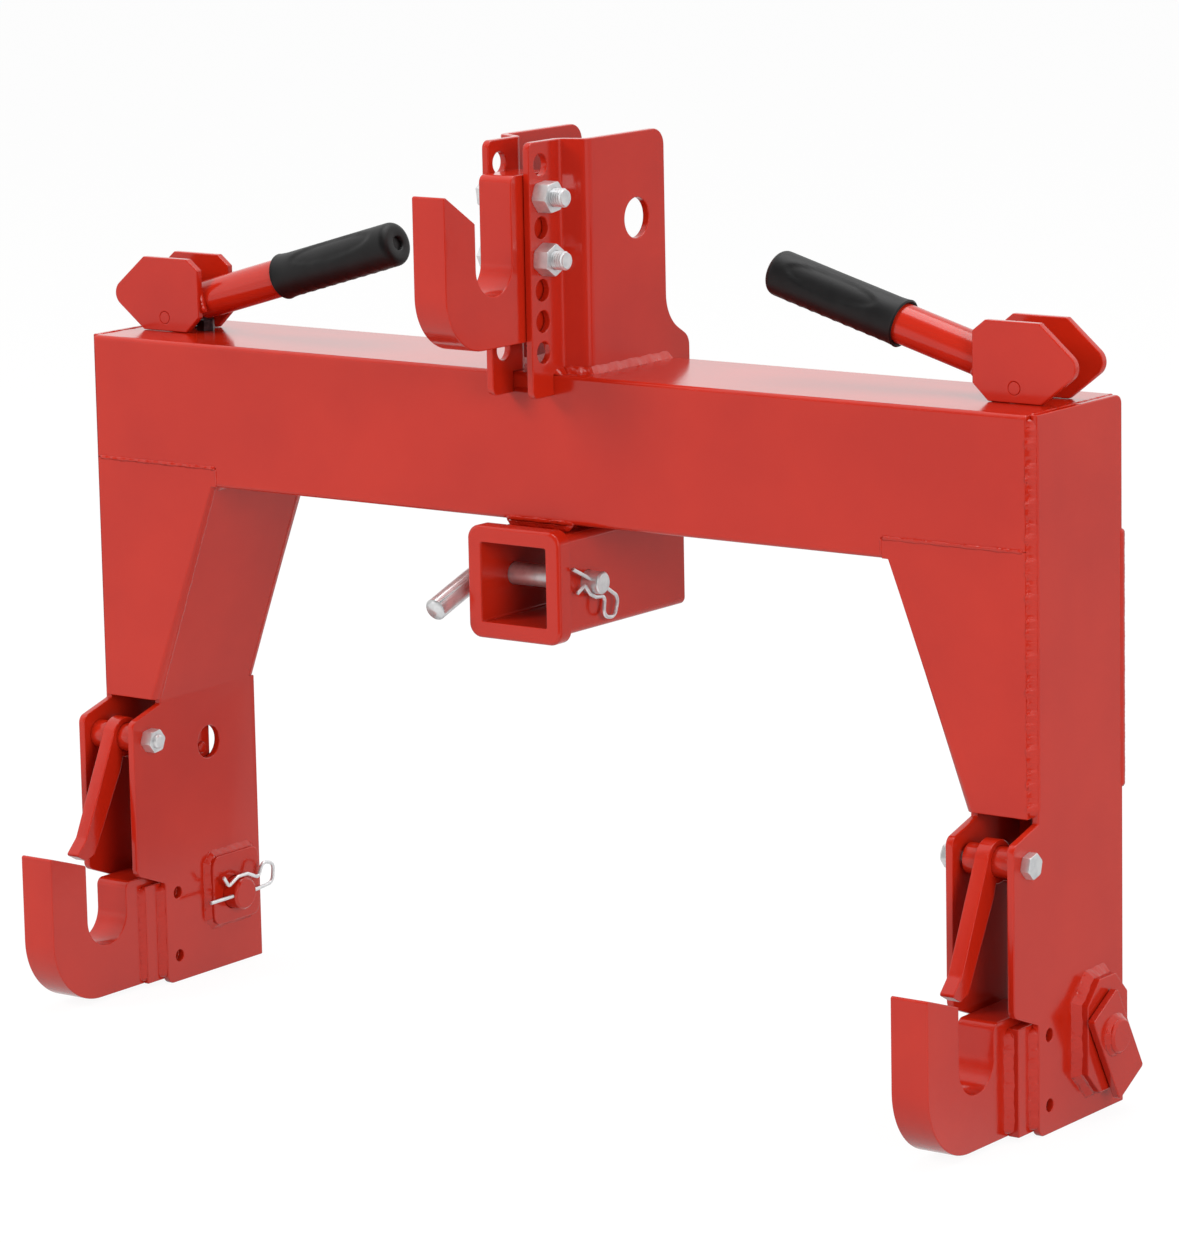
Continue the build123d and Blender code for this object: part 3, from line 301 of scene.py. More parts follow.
# Copy of a CAD node with its facets merged and its sharp edges rounded
def easedCopy(node, kind, width):
    values = easing
    shape = bmesh.new()
    shape.from_mesh(frame["nodes"][node].data)
    bmesh.ops.remove_doubles(shape, verts=shape.verts, dist=values["mergeMm"] * mm)
    if width:
        bmesh.ops.dissolve_limit(shape, angle_limit=math.radians(values["flatDegrees"]), verts=shape.verts,
                                 edges=shape.edges)
        if kind in roundedSlopes:
            bmesh.ops.bevel(shape, geom=slopeEdges(shape, kind), offset=roundedSlopes[kind] * mm,
                            offset_type="OFFSET", segments=values["slopeSegments"], profile=0.5, affect="EDGES",
                            material=-1)
        sharp = [e for e in shape.edges
                 if e.is_manifold and e.calc_face_angle(0) > math.radians(values["sharpDegrees"])]
        bmesh.ops.bevel(shape, geom=sharp, offset=width * mm, offset_type="OFFSET", segments=values["segments"],
                        profile=0.5, affect="EDGES", clamp_overlap=False, loop_slide=False, material=-1)
    if kind in zincNodes:
        material, slotName = zincFinish, "zinc"
    elif kind in darkNodes:
        material, slotName = darkFinish, "dark_steel"
    else:
        material, slotName = plateCoat if kind in flameCut else coat, "red_coat"
    words = node.split("_")
    name = words[0] + "".join(word.capitalize() for word in words[1:]) + "Finished"
    piece = makePiece(name, shape, bodyOf[node], material)
    weighted = piece.modifiers.new("evenNormals", "WEIGHTED_NORMAL")
    weighted.keep_sharp = True
    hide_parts(node)


for node in sorted(frame["nodes"]):
    kind = node.removesuffix("_left").removesuffix("_right")
    if kind in easedEdges:
        easedCopy(node, kind, easedEdges[kind])
print("plates, hooks and tubes eased")

# The springs and collars inside the beam keep their CAD shape
for node, item in frame["nodes"].items():
    if node.startswith(("spring_collar", "return_spring")):
        item.data.materials.clear()
        item.data.materials.append(darkFinish)
print("inner parts finished")


# Welds: a hand-held torch leaves ripples across each seam and uneven edges, and the coat covers them
weld = {
    "ripplePitch": 2.6,
    "rippleBow": 0.4,  # how far a ripple's middle runs ahead of its ends, in pitches
    "root": 0.3,  # depth of the hidden side, as a share of the legs
    "sides": 10,
    "step": 0.8,
    "longWave": 19,
    "shortWave": 7,
    "shortShare": 0.6,
    "lastPhase": 6.28,
    "bluntEnd": 0.01,
}
# How full a seam is, how deep its ripples are, and how far its edges wander, as shares of its size
roughWeld = {"bulge": 0.3, "ripple": 0.07, "wanderA": 0.13, "wanderB": 0.13}
cornerWeld = {"bulge": 0.1, "ripple": 0.018, "wanderA": 0.085, "wanderB": 0.006}  # straight at the side plate
flushWeld = {"bulge": 0.02, "ripple": 0.01, "wanderA": 0.0, "wanderB": 0.0}  # dressed back to both plates
smoothWeld = {"bulge": 0.04, "ripple": 0.02, "wanderA": 0.06, "wanderB": 0.06}
beadStyle = {"ripple": 0.05, "wander": 0.1}
dressedBead = {"ripple": 0.015, "wander": 0.02}


# Slow change of a seam's width along its run, the same at both ends of a closed seam
def wave(distance, total, phases):
    values = weld
    slow = 2 * math.pi * max(1, round(total / (values["longWave"] * mm))) * distance / total
    quick = 2 * math.pi * max(1, round(total / (values["shortWave"] * mm))) * distance / total
    return math.sin(slow + phases[0]) + values["shortShare"] * math.sin(quick + phases[1])


def randomPhases(noise):
    return [noise.uniform(0, weld["lastPhase"]) for _ in range(2)]


# Ripples across a seam, bowed as the molten pool leaves them
def rippleAt(distance, bow):
    return math.sin(2 * math.pi * (distance / (weld["ripplePitch"] * mm) + weld["rippleBow"] * bow ** 2))


# One stretch of a seam: a subdivided rod whose sides are pushed out to the seam's section
def seamStretch(start, end, section):
    values = weld
    shape = bmesh.new()
    bmesh.ops.create_cone(shape, cap_ends=True, segments=values["sides"], radius1=1, radius2=1, depth=1)
    lengthwise = [e for e in shape.edges if abs(e.verts[0].co.z - e.verts[1].co.z) > 0.5]
    cuts = max(2, int((end - start).length / (values["step"] * mm)))
    bmesh.ops.subdivide_edges(shape, edges=lengthwise, cuts=cuts)
    for vert in shape.verts:
        along = vert.co.z + 0.5
        side = round(math.atan2(vert.co.y, vert.co.x) / (2 * math.pi) * values["sides"]) % values["sides"]
        vert.co = start.lerp(end, along) + section(along, side)
    bmesh.ops.recalc_face_normals(shape, faces=shape.faces)
    return shape


# Length of each stretch, and how far along the seam it starts
def stretches(corners, closed):
    ends = corners[1:] + corners[:1] if closed else corners[1:]
    pairs = list(zip(corners, ends))
    lengths = [(end - start).length for start, end in pairs]
    starts = [sum(lengths[:k]) for k in range(len(lengths))]
    return pairs, lengths, starts, sum(lengths)


# Fullness of an open seam near its two ends
def endFullness(distance, total, size, closed):
    if closed:
        return 1.0
    fall = min(1.0, min(distance, total - distance) / size)
    return math.sqrt(max(weld["bluntEnd"], 1 - (1 - fall) ** 2))


# Fillet in the corner of two surfaces, with a leg along each: legA away from the run, legB along sideB
def filletSeam(whole, corners, sideA, sideB, legA, legB, seed, closed=False, style=smoothWeld):
    values = weld
    noise = random.Random(seed)
    phasesA = randomPhases(noise)
    phasesB = randomPhases(noise)
    pairs, lengths, starts, total = stretches(corners, closed)
    outward = sideA if isinstance(sideA, list) else [sideA] * len(corners)
    arcSides = values["sides"] - 2
    for k, (start, end) in enumerate(pairs):
        first, last = outward[k], outward[(k + 1) % len(corners)]

        def section(along, side):
            away = first.lerp(last, along)
            if side == 0:
                return (away * legA + sideB * legB) * -values["root"] * mm
            distance = starts[k] + along * lengths[k]
            across = (side - 1) / arcSides
            ripple = style["ripple"] * rippleAt(distance, 2 * across - 1)
            full = 1 + (style["bulge"] + ripple) * math.sin(math.pi * across)
            full *= endFullness(distance, total, legA * mm, closed)
            partA = away * legA * (1 - across) * (1 + style["wanderA"] * wave(distance, total, phasesA))
            partB = sideB * legB * across * (1 + style["wanderB"] * wave(distance, total, phasesB))
            return (partA + partB) * full * mm

        addTo(whole, seamStretch(start, end, section))


# Raised bead on a flush joint
def raisedSeam(whole, corners, radius, seed, style=beadStyle):
    phases = randomPhases(random.Random(seed))
    pairs, lengths, starts, total = stretches(corners, False)
    for k, (start, end) in enumerate(pairs):
        direction = (end - start).normalized()
        across = direction.cross(rear if abs(direction.y) < 0.5 else right).normalized()
        upward = direction.cross(across)

        def section(along, side):
            distance = starts[k] + along * lengths[k]
            angle = 2 * math.pi * side / weld["sides"]
            ripple = style["ripple"] * rippleAt(distance, math.cos(angle))
            size = 1 + ripple + style["wander"] * wave(distance, total, phases)
            size *= endFullness(distance, total, radius * mm, False)
            return (across * math.cos(angle) + upward * math.sin(angle)) * radius * size * mm

        addTo(whole, seamStretch(start, end, section))


# Outward directions at an outline's corners, long enough to keep a seam's width round them
def mitres(corners, away, closed=True):
    centre = sum(corners, Vector()) / len(corners)
    result = []
    for k, here in enumerate(corners):
        before, after = corners[k - 1], corners[(k + 1) % len(corners)]
        first = (here - before).normalized().cross(away)
        second = (after - here).normalized().cross(away)
        if not closed and k == 0:
            first = second
        if not closed and k == len(corners) - 1:
            second = first
        both = (first + second) / (1 + first.dot(second))
        result.append(both if not closed or both.dot(here - centre) > 0 else -both)
    return result


def flip(vector):
    return Vector((-vector.x, vector.y, vector.z))


def line(points):
    return [at(*point) for point in points]


def mate(points):
    return [flip(point) for point in points]


beadSeams = [  # flush joints: ends and radius
    ([(261, 0.7, 357.8), (360.5, 0.7, 357.8)], 1.7),  # front plate to beam
    ([(260.4, 0.8, 357.4), (260.4, 0.8, 346)], 1.2),
    ([(261, 101.9, 357.8), (362, 101.9, 357.8)], 1.8),  # the same seams at the rear
    ([(362.8, 101.6, 197), (362.8, 101.6, 437)], 1.9),
    ([(362.4, 7, 438.7), (362.4, 99, 438.7)], 1.1),  # beam end, top
    ([(319.7, 5, 197), (266.1, 5, 344)], 1.2),  # sloping plate to front and rear plates
    ([(319.7, 97.4, 197), (266.1, 97.4, 344)], 1.2),
]
slopeDown = Vector((0.343, 0, -0.939))  # down the sloping part of an inner side plate
filletSeams = [  # inside corners: ends, the two surfaces' directions, and the legs
    ([(362.5, 4, 4.5), (362.5, 4, 68)], front, right, 4.2, 4.4),  # hook spacers to side plates
    ([(324.5, 4, 4.5), (324.5, 4, 68)], front, left, 4.2, 4.2),
    ([(354.5, -11, 4.5), (354.5, -11, 69)], front, right, 4.2, 4.6),  # hook to spacers
    ([(328.5, -11, 4.5), (328.5, -11, 69)], front, left, 3.6, 3.4),
    ([(29.5, 22, 439.2), (29.5, 101, 439.2)], left, up, 3.6, 3.4),  # mast foot, inner side
    ([(20, 4, 344.9), (20, 98, 344.9)], right, down, 5.0, 5.0),  # receiver pad
    ([(265.1, 7, 344.9), (265.1, 96, 344.9)], left, slopeDown, 4.0, 4.0),  # sloping plate to beam
]
legSeams = {
    "rearCorner": [(365.7, 102.7, 197), (365.7, 102.7, 357.5)],
    "rearRadius": 2.9,
    "frontCorner": [(362.3, 6.4, 196), (362.3, 6.4, 437)],  # of the leg and the beam's end
    "rightLegs": (6.5, 5.5),
    "leftLegs": (6.3, 5.0),
}
centreSeams = {
    "mastFoot": [(18.2, 1, 439.2), (18.2, 10.5, 439.2), (34.5, 17.2, 439.2), (34.5, 101.4, 439.2)],
    "mastFootLegs": (4.6, 4.2),
    "padFront": [(-22, 2.5, 344.9), (29, 2.5, 344.9)],
    "padFrontLegs": (5.6, 4.9),
    "beamEdge": [(-23, 1.8, 346.2), (31, 1.8, 346.2)],  # metal washed up the beam's lower edge
    "beamEdgeRadius": 2.2,
    "stripGap": [(-13, 0, 427), (13, 0, 427)],  # between the two mast strips
    "stripGapLegs": (2.6, 2.6),
    "collarY": -10.9,
    "collarZ": 307.8,
    "collarHalf": 31.75,
    "collarFlat": 26.5,  # from the middle of a side to where its rounded corner starts
    "collarLegs": (2.6, 3.0),
}
bossSeams = [  # the side plate's face, whether it faces outwards, the boss's outline in Y and Z, and the legs
    (367.5, True, [(45.5, 30.5), (59.5, 16.5), (78.0, 16.5), (92.0, 30.5), (92.0, 73.5), (78.0, 87.5), (59.5, 87.5),
                   (45.5, 73.5)], 4.6, 5.2),
    (319.5, False, [(46.5, 37.0), (51.5, 32.0), (89.0, 32.0), (94.0, 37.0), (94.0, 74.5), (89.0, 79.5), (51.5, 79.5),
                    (46.5, 74.5)], 3.6, 3.6),
]


# Full-length seams on the corners of both legs
def weldLegCorners(whole):
    values = legSeams
    rearCorner, frontCorner = line(values["rearCorner"]), line(values["frontCorner"])
    raisedSeam(whole, rearCorner, values["rearRadius"], 211, style=dressedBead)
    raisedSeam(whole, mate(rearCorner), values["rearRadius"], 213, style=dressedBead)
    filletSeam(whole, frontCorner, front, right, *values["rightLegs"], 201, style=cornerWeld)
    filletSeam(whole, mate(frontCorner), front, left, *values["leftLegs"], 207, style=flushWeld)


# Seams round the mast plates' feet, and of the receiver
def weldCentre(whole):
    values = centreSeams
    mastFoot = line(values["mastFoot"])
    away = mitres(mastFoot, up, closed=False)
    filletSeam(whole, mastFoot, away, up, *values["mastFootLegs"], 301)
    filletSeam(whole, mate(mastFoot), mate(away), up, *values["mastFootLegs"], 317)
    filletSeam(whole, line(values["padFront"]), front, down, *values["padFrontLegs"], 401, style=roughWeld)
    raisedSeam(whole, line(values["beamEdge"]), values["beamEdgeRadius"], 409)
    filletSeam(whole, line(values["stripGap"]), front, up, *values["stripGapLegs"], 501)
    half, flat, middle = values["collarHalf"], values["collarFlat"], values["collarZ"]
    ring = [at(x, values["collarY"], middle + z) for x, z in (
        (half, -flat), (half, flat), (flat, half), (-flat, half), (-half, flat), (-half, -flat), (-flat, -half),
        (flat, -half))]
    filletSeam(whole, ring, mitres(ring, rear), rear, *values["collarLegs"], 601, closed=True)


def frameWelds():
    whole = bmesh.new()
    seed = 1
    for ends, radius in beadSeams:
        for side in (line(ends), mate(line(ends))):
            raisedSeam(whole, side, radius, seed)
            seed += 7
    for ends, sideA, sideB, legA, legB in filletSeams:
        filletSeam(whole, line(ends), sideA, sideB, legA, legB, seed)
        filletSeam(whole, mate(line(ends)), flip(sideA), flip(sideB), legA, legB, seed + 3)
        seed += 7
    weldLegCorners(whole)
    weldCentre(whole)
    for x, outwards, outline, legA, legB in bossSeams:
        for sign in (1, -1):
            points = [at(sign * x, y, z) for y, z in outline]
            off = right * sign if outwards else left * sign
            filletSeam(whole, points, mitres(points, off), off, legA, legB, seed, closed=True)
            seed += 11
    makePiece("frameWelds", whole, "frame", coat, sharpDegrees=80)


frameWelds()
print("frame welded")


# Fillet round each link pin where it comes through its flag plate
pinWeld = {"x": 383.0, "y": 67.5, "z": 52.0, "pinRadius": 11.0, "legA": 2.6, "legB": 3.0, "corners": 24}


def pinFlagWeld(side, sign):
    values = pinWeld
    ring = []
    for k in range(values["corners"]):
        angle = 2 * math.pi * k / values["corners"]
        ring.append(at(sign * values["x"], values["y"] + values["pinRadius"] * math.cos(angle),
                       values["z"] + values["pinRadius"] * math.sin(angle)))
    whole = bmesh.new()
    off = right * sign
    filletSeam(whole, ring, mitres(ring, off), off, values["legA"], values["legB"], 701, closed=True)
    makePiece(side + "PinFlagWeld", whole, bodyOf["link_pin_flag_" + side], coat, sharpDegrees=80)


pinFlagWeld("right", 1)
pinFlagWeld("left", -1)
print("link pins welded")


# Handles: a tube between the cam plates, tilted up from the beam, with a grip pushed over its end
handle = {"tilt": 16.0, "pinX": 332.0, "pinY": 55.0, "pinZ": 448.4, "rise": 5.3}
grip = {
    "start": 92.5,
    "ends": {"right": 190.0, "left": 193.0},
    "radius": 14.5,
    "mouthRadius": 12.9,  # next to the tube
    "mouthDepth": 1.0,
    "lipRadius": 15.3,
    "lipRound": 0.9,
    "lipFlat": 1.6,
    "lipFade": 11.0,  # from the lip to the plain radius
    "endRadius": 5.0,
    "endSteps": 8,
    "steps": 56,
    "rings": 70,
    "skin": 1.2,  # the pattern is pressed into what lies within this of the outside
    "panelCentre": 0.52,  # along the grip, from 0 to 1
    "panelHalfLength": 0.36,
    "panelTurn": 52,
    "panelHalfAngle": 34,
    "panelDepth": 0.9,
    "panelEdge": 0.12,
    "ribs": 9,
    "ribHeight": 0.3,
    "ribsFrom": 0.1,
    "ribsTo": 0.9,
    "ribsUnder": 0.55,  # the ribs are where the surface faces down by more than this cosine
    "ribsRise": 1.6,
    "holeRadius": 4.6,
    "holeDepth": 2.5,
    "holeFlare": 0.8,
    "holeFlareDepth": 0.5,
    "holeTaper": 0.3,
}


# Local Z runs up the tube, local X points up and away from the beam, for the +X side
def handleMatrix():
    tilt = math.radians(handle["tilt"])
    direction = Vector((-math.cos(tilt), 0, math.sin(tilt)))
    upward = Vector((math.sin(tilt), 0, math.cos(tilt)))
    sideways = direction.cross(upward)
    turn = Matrix((upward, sideways, direction)).transposed().to_4x4()
    return Matrix.Translation(at(handle["pinX"], handle["pinY"], handle["pinZ"] + handle["rise"])) @ turn


# Closed turned form about Z from (radius, height) pairs in millimetres
def spinProfile(shape, profile, steps):
    verts = [shape.verts.new((radius * mm, 0, height * mm)) for radius, height in profile]
    edges = [shape.edges.new(pair) for pair in zip(verts, verts[1:])]
    bmesh.ops.spin(shape, geom=verts + edges, cent=(0, 0, 0), axis=(0, 0, 1), angle=2 * math.pi, steps=steps,
                   use_merge=True)
    bmesh.ops.remove_doubles(shape, verts=shape.verts, dist=0.003 * mm)
    bmesh.ops.recalc_face_normals(shape, faces=shape.faces)


# Radius and height up the outside of a grip and into the hole in its end
def gripProfile(end):
    values = grip
    start, radius, lip, endRadius = values["start"], values["radius"], values["lipRadius"], values["endRadius"]
    profile = [(values["mouthRadius"], start + values["mouthDepth"]), (lip - values["lipRound"], start),
               (lip, start + values["lipRound"])]
    for index in range(values["rings"]):
        t = index / (values["rings"] - 1)
        height = start + values["lipFlat"] + t * (end - start - values["lipFlat"] - endRadius)
        fade = max(0.0, 1 - (height - start) / values["lipFade"])
        profile.append((radius + (lip - radius) * fade * fade, height))
    for index in range(1, values["endSteps"] + 1):
        angle = math.pi / 2 * index / values["endSteps"]
        profile.append((radius - endRadius + endRadius * math.cos(angle),
                        end - endRadius + endRadius * math.sin(angle)))
    hole, floorHeight = values["holeRadius"], end - values["holeDepth"]
    return profile + [(hole + values["holeFlare"], end), (hole, end - values["holeFlareDepth"]),
                      (hole - values["holeTaper"], floorHeight), (0.0, floorHeight)]


# How far the pattern moves the surface: two sunk oval panels above, and ribs below
def gripPattern(t, angle):
    values = grip
    change = 0.0
    for centre in (values["panelTurn"], -values["panelTurn"]):
        reach = math.hypot((t - values["panelCentre"]) / values["panelHalfLength"],
                           (angle - centre) / values["panelHalfAngle"])
        edge = (reach - 1 + values["panelEdge"]) / values["panelEdge"]
        change -= values["panelDepth"] * (1 - min(1.0, max(0.0, edge)))
    if values["ribsFrom"] < t < values["ribsTo"]:
        under = max(0.0, -math.cos(math.radians(angle)) - values["ribsUnder"]) / (1 - values["ribsUnder"])
        turns = values["ribs"] * (t - values["ribsFrom"]) / (values["ribsTo"] - values["ribsFrom"])
        ridge = max(0.0, math.sin(2 * math.pi * turns)) ** 2
        change += values["ribHeight"] * ridge * min(1.0, under * values["ribsRise"])
    return change


def gripShape(side):
    values = grip
    start, end = values["start"], values["ends"][side]
    shape = bmesh.new()
    spinProfile(shape, gripProfile(end), values["steps"])
    for vert in shape.verts:
        radius = math.hypot(vert.co.x, vert.co.y)
        if radius < (values["radius"] - values["skin"]) * mm:
            continue
        t = (vert.co.z / mm - start) / (end - start)
        scale = 1 + gripPattern(t, math.degrees(math.atan2(vert.co.y, vert.co.x))) * mm / radius
        vert.co.x *= scale
        vert.co.y *= scale
    bmesh.ops.transform(shape, matrix=handleMatrix(), verts=shape.verts)
    return shape


for side in ("right", "left"):
    shape = gripShape(side)
    if side == "left":
        mirrorShape(shape)
    piece = makePiece(side + "Grip", shape, "handle_" + side, rubberFinish, sharpDegrees=50)
    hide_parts("handle_grip_" + side)
print("grips moulded")


# Short beads where the tube meets the two cam plates: ends in the tube's own frame, and radius
handleSeams = [
    ((10.5, 13.4, 22), (9.45, 13.4, 32), 1.6),  # along the tube's upper side
    ((-8.5, 13.4, 22), (-7.65, 13.4, 32), 1.6),  # along its lower side
    ((-9, 13.6, 30.0), (10.5, 13.6, 30.5), 2.0),  # up the plate's edge
]


def handleWelds(side):
    whole = bmesh.new()
    place = handleMatrix()
    seed = 901
    for sign in (1, -1):
        for first, last, radius in handleSeams:
            ends = [place @ Vector((x * mm, sign * y * mm, z * mm)) for x, y, z in (first, last)]
            raisedSeam(whole, ends, radius, seed)
            seed += 1
    if side == "left":
        mirrorShape(whole)
    makePiece(side + "HandleWelds", whole, "handle_" + side, coat, sharpDegrees=80)


for side in ("right", "left"):
    handleWelds(side)
print("handles welded")


# Mast bolts: hexagon heads on the -X side, and threads that come out of the nuts on the +X side
mastBolt = {
    "acrossFlats": 18.0,
    "headHeight": 7.5,
    "headChamfer": 0.9,
    "chamferSegments": 2,
    "stripX": 18.2,  # outer face of the mast strips
    "sunkInHead": 0.5,
    "nutEndX": 29.0,
    "endX": 37.5,
    "radius": 6.0,
    "rootRadius": 4.9,
    "endRadius": 4.9,
    "runout": (2.0, 1.6),  # where the shank narrows to the root, inside the nut
    "tip": 0.6,
    "shankSteps": 40,
    "pitch": 1.75,
    "threadSteps": 28,  # per turn
    "threadSink": 0.05,
    "threadEnd": 0.7,
    "flank": 0.42,  # half widths of a thread's foot and crest, in pitches
    "crest": 0.07,
    "y": -9.6,
    "heights": (551.8, 512.8),
    "turns": (8, 26),
}


def boltHead(turnDegrees):
    values = mastBolt
    shape = bmesh.new()
    corner = values["acrossFlats"] / math.sqrt(3) * mm
    bmesh.ops.create_cone(shape, cap_ends=True, segments=6, radius1=corner, radius2=corner,
                          depth=values["headHeight"] * mm)
    outer = [e for e in shape.edges if all(v.co.z < 0 for v in e.verts)]
    bmesh.ops.bevel(shape, geom=outer, offset=values["headChamfer"] * mm, offset_type="OFFSET",
                    segments=values["chamferSegments"], profile=0.5, affect="EDGES", material=-1)
    headTurn = Matrix.Rotation(math.radians(turnDegrees), 4, "Z")
    headPlace = Matrix.Translation((0, 0, (-values["stripX"] - values["headHeight"] / 2) * mm))
    bmesh.ops.transform(shape, matrix=headPlace @ headTurn, verts=shape.verts)
    return shape


def boltShank():
    values = mastBolt
    shape = bmesh.new()
    radius, root, headEnd = values["radius"], values["rootRadius"], -values["stripX"] - values["sunkInHead"]
    full, narrow = (values["nutEndX"] - back for back in values["runout"])
    spinProfile(shape, [(0, headEnd), (radius, headEnd), (radius, full), (root, narrow),
                        (root, values["endX"] - values["tip"]), (values["endRadius"], values["endX"]),
                        (0, values["endX"])], values["shankSteps"])
    return shape


def boltThread():
    values = mastBolt
    shape = bmesh.new()
    pitch, steps = values["pitch"], values["threadSteps"]
    root, crest = values["rootRadius"] - values["threadSink"], values["radius"] - values["threadSink"]
    turnCount = int((values["endX"] - values["nutEndX"] - values["tip"]) / pitch) + 1
    first = values["endX"] - values["threadEnd"] - turnCount * pitch
    foot, top = values["flank"] * pitch, values["crest"] * pitch
    profile = [(root, first - foot), (crest, first - top), (crest, first + top), (root, first + foot)]
    verts = [shape.verts.new((r * mm, 0, h * mm)) for r, h in profile]
    edges = [shape.edges.new(pair) for pair in zip(verts, verts[1:])]
    bmesh.ops.spin(shape, geom=verts + edges, cent=(0, 0, 0), axis=(0, 0, 1), dvec=(0, 0, pitch / steps * mm),
                   angle=2 * math.pi * turnCount, steps=steps * turnCount, use_merge=False)
    bmesh.ops.recalc_face_normals(shape, faces=shape.faces)
    return shape


def mastBoltShape(height, turnDegrees):
    shape = boltHead(turnDegrees)
    addTo(shape, boltShank())
    addTo(shape, boltThread())
    along = right.to_track_quat("Z", "Y").to_matrix().to_4x4()
    bmesh.ops.transform(shape, matrix=Matrix.Translation(at(0, mastBolt["y"], height)) @ along, verts=shape.verts)
    return shape


bolts = bmesh.new()
for height, turnDegrees in zip(mastBolt["heights"], mastBolt["turns"]):
    addTo(bolts, mastBoltShape(height, turnDegrees))
boltPiece = makePiece("threadedMastBolts", bolts, "frame", zincFinish, sharpDegrees=32)
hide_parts("mast_bolts")
print("bolts threaded")


# Studio: a white floor and world, with a painted reflection: only in reflections does the paper sweep end towards
# the camera, where the room is painted dark
studio = {
    "floorSize": 80.0,
    "floorWhite": 0.62,
    "floorGlow": 1.1,
    "floorShare": 0.84,
    "worldDiffuse": 0.54,
    # Painted reflection: reflections alone see the world brighter than white and dark towards the camera's side
    "wallLook": 1.12,
    "wallDarkSide": (0.14, -0.85, 0.5),
    "wallDarkFrom": 0.8,
    "wallDarkTo": 0.6,
    "wallDark": 0.12,
    # Painted reflection: reflections alone see the floor's glow dimmed, and dark towards the camera beyond a reach
    "sweepLook": 0.85,
    "sweepEnd": 1.3,
    "sweepFade": 0.75,
    "sweepDarkSide": (0.47, -0.88, 0.0),
    "sweepDarkFrom": 0.87,
    "sweepDarkTo": 0.76,
    "sweepDark": 0.1,
    "sweepDimSide": (0.6, 0.8, 0.0),
    "sweepDimFrom": 0.8,
    "sweepDimTo": 0.4,
    "sweepDim": 0.58,
    "aim": (0, 40, 260),
    "lamps": [  # name, place, size, power, colour, and whether it shows in reflections
        ("keyLamp", (-1.9, -2.7, 2.4), 1.5, 75.0, "#FFF6EC", False),
        ("fillLamp", (4.5, -2.4, 1.55), 2.6, 142.0, "#FFFFFF", False),
        ("topLamp", (0.2, 0.4, 3.0), 2.4, 42.0, "#FFFFFF", True),
    ],
}


# One where the camera, a reflection or a view through glass meets the surface
def seenDirectly(tree):
    path = addNode(tree, "ShaderNodeLightPath")
    first = addNode(tree, "ShaderNodeMath", {"operation": "MAXIMUM"})
    tree.links.new(path.outputs["Is Camera Ray"], first.inputs[0])
    tree.links.new(path.outputs["Is Glossy Ray"], first.inputs[1])
    second = addNode(tree, "ShaderNodeMath", {"operation": "MAXIMUM"})
    tree.links.new(first.outputs[0], second.inputs[0])
    tree.links.new(path.outputs["Is Transmission Ray"], second.inputs[1])
    return second.outputs[0]


# Brightness that falls from one value to another around a direction
def dimmedTowards(tree, direction, side, start, end, bright, dark):
    towards = addNode(tree, "ShaderNodeVectorMath", {"operation": "DOT_PRODUCT"})
    tree.links.new(direction, towards.inputs[0])
    towards.inputs[1].default_value = Vector(side).normalized()
    fall = addNode(tree, "ShaderNodeMapRange", {"interpolation_type": "SMOOTHSTEP"},
                   {"From Min": end, "From Max": start, "To Min": bright, "To Max": dark},
                   {"Value": towards.outputs["Value"]})
    return fall.outputs["Result"]


# The plain strength for the camera, and the studio's uneven look in reflections, which is a painted reflection
def reflectedOnly(tree, plain, look):
    path = addNode(tree, "ShaderNodeLightPath")
    mix = addNode(tree, "ShaderNodeMix", {"data_type": "FLOAT"}, {"A": plain},
                  {"Factor": path.outputs["Is Glossy Ray"], "B": look})
    return mix.outputs["Result"]


def studioWorld():
    values = studio
    world = bpy.data.worlds.new("studioWhite")
    world.use_nodes = True
    tree = world.node_tree
    tree.nodes.clear()
    dim = addNode(tree, "ShaderNodeBackground", values={"Color": (1, 1, 1, 1), "Strength": values["worldDiffuse"]})
    coords = addNode(tree, "ShaderNodeTexCoord")
    # Painted reflection: only reflections see this brighter world with its dark side, and it lights nothing
    paintedRoomReflection = dimmedTowards(tree, coords.outputs["Generated"], values["wallDarkSide"], values["wallDarkFrom"],
                          values["wallDarkTo"], values["wallLook"], values["wallDark"])
    white = addNode(tree, "ShaderNodeBackground", values={"Color": (1, 1, 1, 1)},
                    links={"Strength": reflectedOnly(tree, 1.0, paintedRoomReflection)})
    mix = addNode(tree, "ShaderNodeMixShader", links={"Fac": seenDirectly(tree)})
    tree.links.new(dim.outputs[0], mix.inputs[1])
    tree.links.new(white.outputs[0], mix.inputs[2])
    addNode(tree, "ShaderNodeOutputWorld", links={"Surface": mix.outputs[0]})
    bpy.context.scene.world = world


